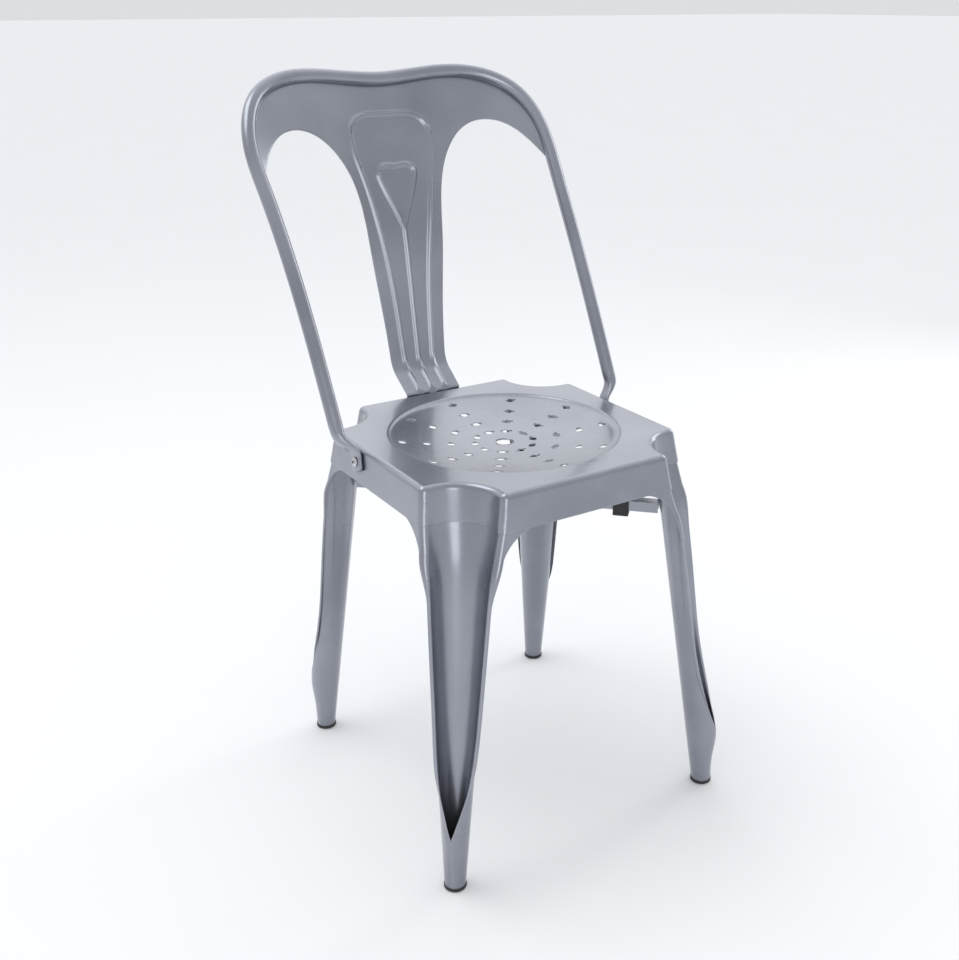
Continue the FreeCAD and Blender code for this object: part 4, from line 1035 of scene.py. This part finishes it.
def apron_lips():
    """The turned lip of the apron's lower edge, where it laps over each leg."""
    section = np.array(leg_section(SEAM_Z, (0, 0)))[2:-2]
    ahead = unit(np.gradient(section, axis=0))
    line = section + np.stack([-ahead[:, 1], ahead[:, 0], 0 * ahead[:, 0]], axis=1) * LIP_OUT
    line[:, 2] += LIP_UP
    points = turned(line, radians(45)) / 1000
    path = mesh_of(points, [], closed=False, edges=[(k, k + 1) for k in range(len(points) - 1)])
    mesh = run_tree(path, lip_tree(), {
        "Seat Middle": tuple(seat_frame([0, 0, 0])),
        "Lip Radius": LIP_RADIUS / 1000,
        "Finish": LACQUER,
    })
    outward(mesh)
    piece_from_mesh("apron_lips", mesh, [], 1.0)


# The seat.


def bowl_ball():
    """Radius of the ball that the bowl is part of, and the height of its middle."""
    run = RIM_SLANT * cos(RIM_SLOPE) + RIM_BEND * sin(RIM_SLOPE)
    rise = RIM_SLANT * sin(RIM_SLOPE) + RIM_BEND * (1 - cos(RIM_SLOPE))
    ball = (BOWL_RIM - run) / sin(BOWL_SLOPE)
    return ball, SEAT_HEIGHT - rise + ball * cos(BOWL_SLOPE)


def perforation_beads():
    """The rounded edge of every hole in the bowl, and of the drain in its middle."""
    ball, middle_z = bowl_ball()
    tree = rim_tree()
    drain = (DRAIN_RADIUS + SHEET / 2) / 1000
    holes = {"Spokes": HOLE_SPOKES, "Rows": HOLE_ROWS, "First Radius": HOLE_FIRST / 1000}
    middle = {"Spokes": 1, "Rows": 1, "First Radius": 0.0, "Rim Radius": drain}
    for name, values in (("perforation_beads", holes), ("drain_bead", middle)):
        values["Bowl Radius"] = (ball + SHEET / 2) / 1000
        values["Bowl Middle"] = tuple(seat_frame([0, 0, middle_z]))
        values["Finish"] = LACQUER
        mesh = run_tree(bpy.data.meshes.new("empty"), tree, values)
        outward(mesh)
        piece_from_mesh(name, mesh, [], 3.0)


def hole_places():
    """Middle of each hole as its reach, its direction and its radius with the bead's room."""
    angles = [pi / 2 + 2 * pi * spoke / HOLE_SPOKES for spoke in range(HOLE_SPOKES)]
    reaches = [HOLE_FIRST + row * HOLE_PITCH for row in range(HOLE_ROWS)]
    places = [(reach, angle, HOLE_RADIUS + SHEET / 2) for reach in reaches for angle in angles]
    return places + [(0, 0, DRAIN_RADIUS + SHEET / 2)]


def hole_ring(reach, angle, radius, skin):
    """A hole's edge on one skin of the bowl, seen from above. The hole is square to the ball."""
    tilt = asin(reach / skin)
    out = Vector((cos(angle), sin(angle), 0))
    axis = out * sin(tilt) - Vector((0, 0, 1)) * cos(tilt)
    side = Vector((-sin(angle), cos(angle), 0))
    up = side.cross(axis)
    hub = axis * sqrt(skin ** 2 - radius ** 2)
    ring = []
    for k in range(HOLE_SIDES):
        turn = 2 * pi * k / HOLE_SIDES
        ring.append((hub + (side * cos(turn) + up * sin(turn)) * radius).to_2d())
    return ring


def bowl_skin(shape, rim, skin, middle_z):
    """Fills one skin of the bowl inside the rim and gives the corners of its holes' edges."""
    ring_step, point_step, hole_room = 3.0, 3.2, 1.4
    hub = seat_frame([0, 0, 0])
    flat = [Vector(((vert.co.x - hub[0]) * 1000, (vert.co.y - hub[1]) * 1000)) for vert in rim]
    border = len(flat)
    edges = []
    middles = []
    for reach, angle, radius in hole_places():
        first = len(flat)
        flat += hole_ring(reach, angle, radius, skin)
        edges += [(first + k, first + (k + 1) % HOLE_SIDES) for k in range(HOLE_SIDES)]
        middles.append((Vector((reach * cos(angle), reach * sin(angle))), radius))
    edge_end = len(flat)
    for ring in range(4, 42):
        reach = ring_step * ring
        count = round(2 * pi * reach / point_step)
        for k in range(count):
            angle = 2 * pi * (k + 0.5 * (ring % 2)) / count
            point = Vector((reach * cos(angle), reach * sin(angle)))
            if all((point - middle).length > radius + hole_room for middle, radius in middles):
                flat.append(point)
    places, _, faces, origins = delaunay_2d_cdt(flat, edges, [list(range(border))], 1, 1e-6)[:4]
    verts = []
    rings = {}
    for point, origin in zip(places, origins):
        known = [index for index in origin if index < border]
        if known:
            verts.append(rim[known[0]])
        else:
            low = middle_z - sqrt(skin ** 2 - point.length_squared)
            verts.append(shape.verts.new(seat_frame([point.x, point.y, low])))
        for index in origin:
            if border <= index < edge_end:
                rings[index - border] = verts[-1]
    for face in faces:
        centre = sum((places[index] for index in face), Vector((0, 0))) / len(face)
        if all((centre - middle).length > radius - 0.3 for middle, radius in middles):
            shape.faces.new([verts[index] for index in face])
    return rings


def pressed_seat():
    """The pan keeps its rim, corners and apron, and its bowl is laid afresh with every row of holes."""
    ball, middle_z = bowl_ball()
    shape = bmesh.new()
    shape.from_mesh(frame["nodes"]["seat_pan"].data)
    bmesh.ops.remove_doubles(shape, verts=shape.verts, dist=1e-6)
    hub = seat_frame([0, 0, 0])
    slack, between = 0.3, 0.1

    def reach(vert):
        return 1000 * hypot(vert.co.x - hub[0], vert.co.y - hub[1])

    def bearing(vert):
        return atan2(vert.co.y - hub[1], vert.co.x - hub[0])

    bowl_edge = ball * sin(BOWL_SLOPE)
    old_bowl = [vert for vert in shape.verts if reach(vert) < bowl_edge - slack]
    bmesh.ops.delete(shape, geom=old_bowl, context="VERTS")
    open_edge = sorted((vert for vert in shape.verts if vert.is_boundary), key=bearing)
    # The pan's lower skin opens a little wider than its upper one.
    upper = [vert for vert in open_edge if reach(vert) < bowl_edge + between]
    lower = [vert for vert in open_edge if reach(vert) >= bowl_edge + between]
    top = bowl_skin(shape, upper, ball, middle_z)
    bottom = bowl_skin(shape, lower, ball + SHEET, middle_z)
    for hole in range(len(hole_places())):
        for k in range(HOLE_SIDES):
            here, after = hole * HOLE_SIDES + k, hole * HOLE_SIDES + (k + 1) % HOLE_SIDES
            shape.faces.new((top[here], top[after], bottom[after], bottom[here]))
    mesh = mesh_from(shape)
    shade_smooth(mesh, 0.6)
    mesh = after_modifiers(mesh, ("WEIGHTED_NORMAL", {"keep_sharp": True, "weight": 80}))
    piece_from_mesh("pressed_seat", mesh, ["seat_pan"], None)


# The chair.

for corner in FEET:
    rolled_leg(corner)
back_panel()
back_hoop()
bolts()
pressed_seat()
perforation_beads()
apron_lips()

for row in frame["record"]["subparts"]:
    item = frame["nodes"][row["node"]]
    for slot in item.material_slots:
        slot.material = FINISHES[row["material_slot"]]
    if not item.material_slots:
        item.data.materials.append(FINISHES[row["material_slot"]])


# The studio. Its sizes are in metres.


def floor_material():
    material = bpy.data.materials.new("pale_floor")
    tree = cleared(material)
    speckle = noise(tree, node(tree, "ShaderNodeTexCoord").outputs["Object"], 3.0, 3.0)
    pale = colour_mix(tree, speckle, (0.86, 0.865, 0.875, 1), (0.88, 0.885, 0.895, 1))
    shader = node(tree, "ShaderNodeBsdfDiffuse", {"Color": pale})
    node(tree, "ShaderNodeOutputMaterial", {"Surface": shader.outputs["BSDF"]})
    return material


def floor():
    half, sunk = 60.0, 0.0002
    corners = [(-half, -half, 0), (half, -half, 0), (half, half, 0), (-half, half, 0)]
    mesh = mesh_of(corners, [(0, 1, 2, 3)], closed=False)
    mesh.materials.append(floor_material())
    plane = new_object("floor", mesh)
    plane.location.z = -sunk


def studio_world():
    """A pale room: even along the horizon, and brightest high up behind the chair."""
    world = bpy.data.worlds.new("studio")
    bpy.context.scene.world = world
    tree = cleared(world)
    even, brightest = 0.75, 0.75
    way = node(tree, "ShaderNodeTexCoord").outputs["Generated"]
    facing = node(tree, "ShaderNodeVectorMath", {0: way, 1: (0.38, 0.76, 0.53)}, operation="DOT_PRODUCT")
    patch = value_range(tree, facing.outputs["Value"], (0.2, 1.0), (0.0, brightest))
    upward = node(tree, "ShaderNodeSeparateXYZ", {"Vector": way}).outputs["Z"]
    raised = value_range(tree, upward, (0.02, 0.45), (0.0, 1.0))
    strength = math_node(tree, "ADD", math_node(tree, "MULTIPLY", patch, raised), even)
    backdrop = node(tree, "ShaderNodeBackground", {"Color": (0.96, 0.975, 1.0, 1), "Strength": strength})
    node(tree, "ShaderNodeOutputWorld", {"Surface": backdrop.outputs[0]})


def aimed(item, place, target):
    """Puts a lamp or camera at a place and turns it to a target."""
    item.location = place
    direction = Vector(target) - Vector(place)
    item.rotation_euler = direction.to_track_quat("-Z", "Y").to_euler()


def lamp(name, place, target_height, wide, high, power):
    """A soft box that faces the chair's middle line at a height."""
    data = bpy.data.lights.new(name, "AREA")
    data.shape = "RECTANGLE"
    data.size = wide
    data.size_y = high
    data.energy = power
    item = new_object(name, data)
    item.visible_camera = False
    aimed(item, place, (0, 0, target_height))


def camera():
    """The photograph's own place and height. The lens is its own too, made longer for a closer picture."""
    azimuth, distance, height = radians(-32.6), 1.2221, 0.8901
    focal, closer, picture = 947.0, 1.2, 960
    data = bpy.data.cameras.new("camera")
    data.sensor_width = 36
    data.lens = data.sensor_width * focal * closer / picture
    data.shift_x = -0.0305
    data.shift_y = 0.0852
    data.clip_end = 300
    item = new_object("camera", data)
    centre = Vector((0, -0.0589, 0.2847))
    place = Vector((distance * sin(azimuth), centre.y - distance * cos(azimuth), height))
    aimed(item, place, centre)
    bpy.context.scene.camera = item


floor()
studio_world()
lamp("key_light", (-0.9, 0.7, 2.6), 0.4, 1.4, 1.4, 13)
lamp("side_strip", (2.1, 0.2, 1.1), 0.45, 0.5, 1.6, 6)
lamp("front_box", (-1.25, -2.4, 0.95), 0.6, 1.0, 1.4, 9)
camera()
bpy.context.scene.view_settings.view_transform = "Standard"
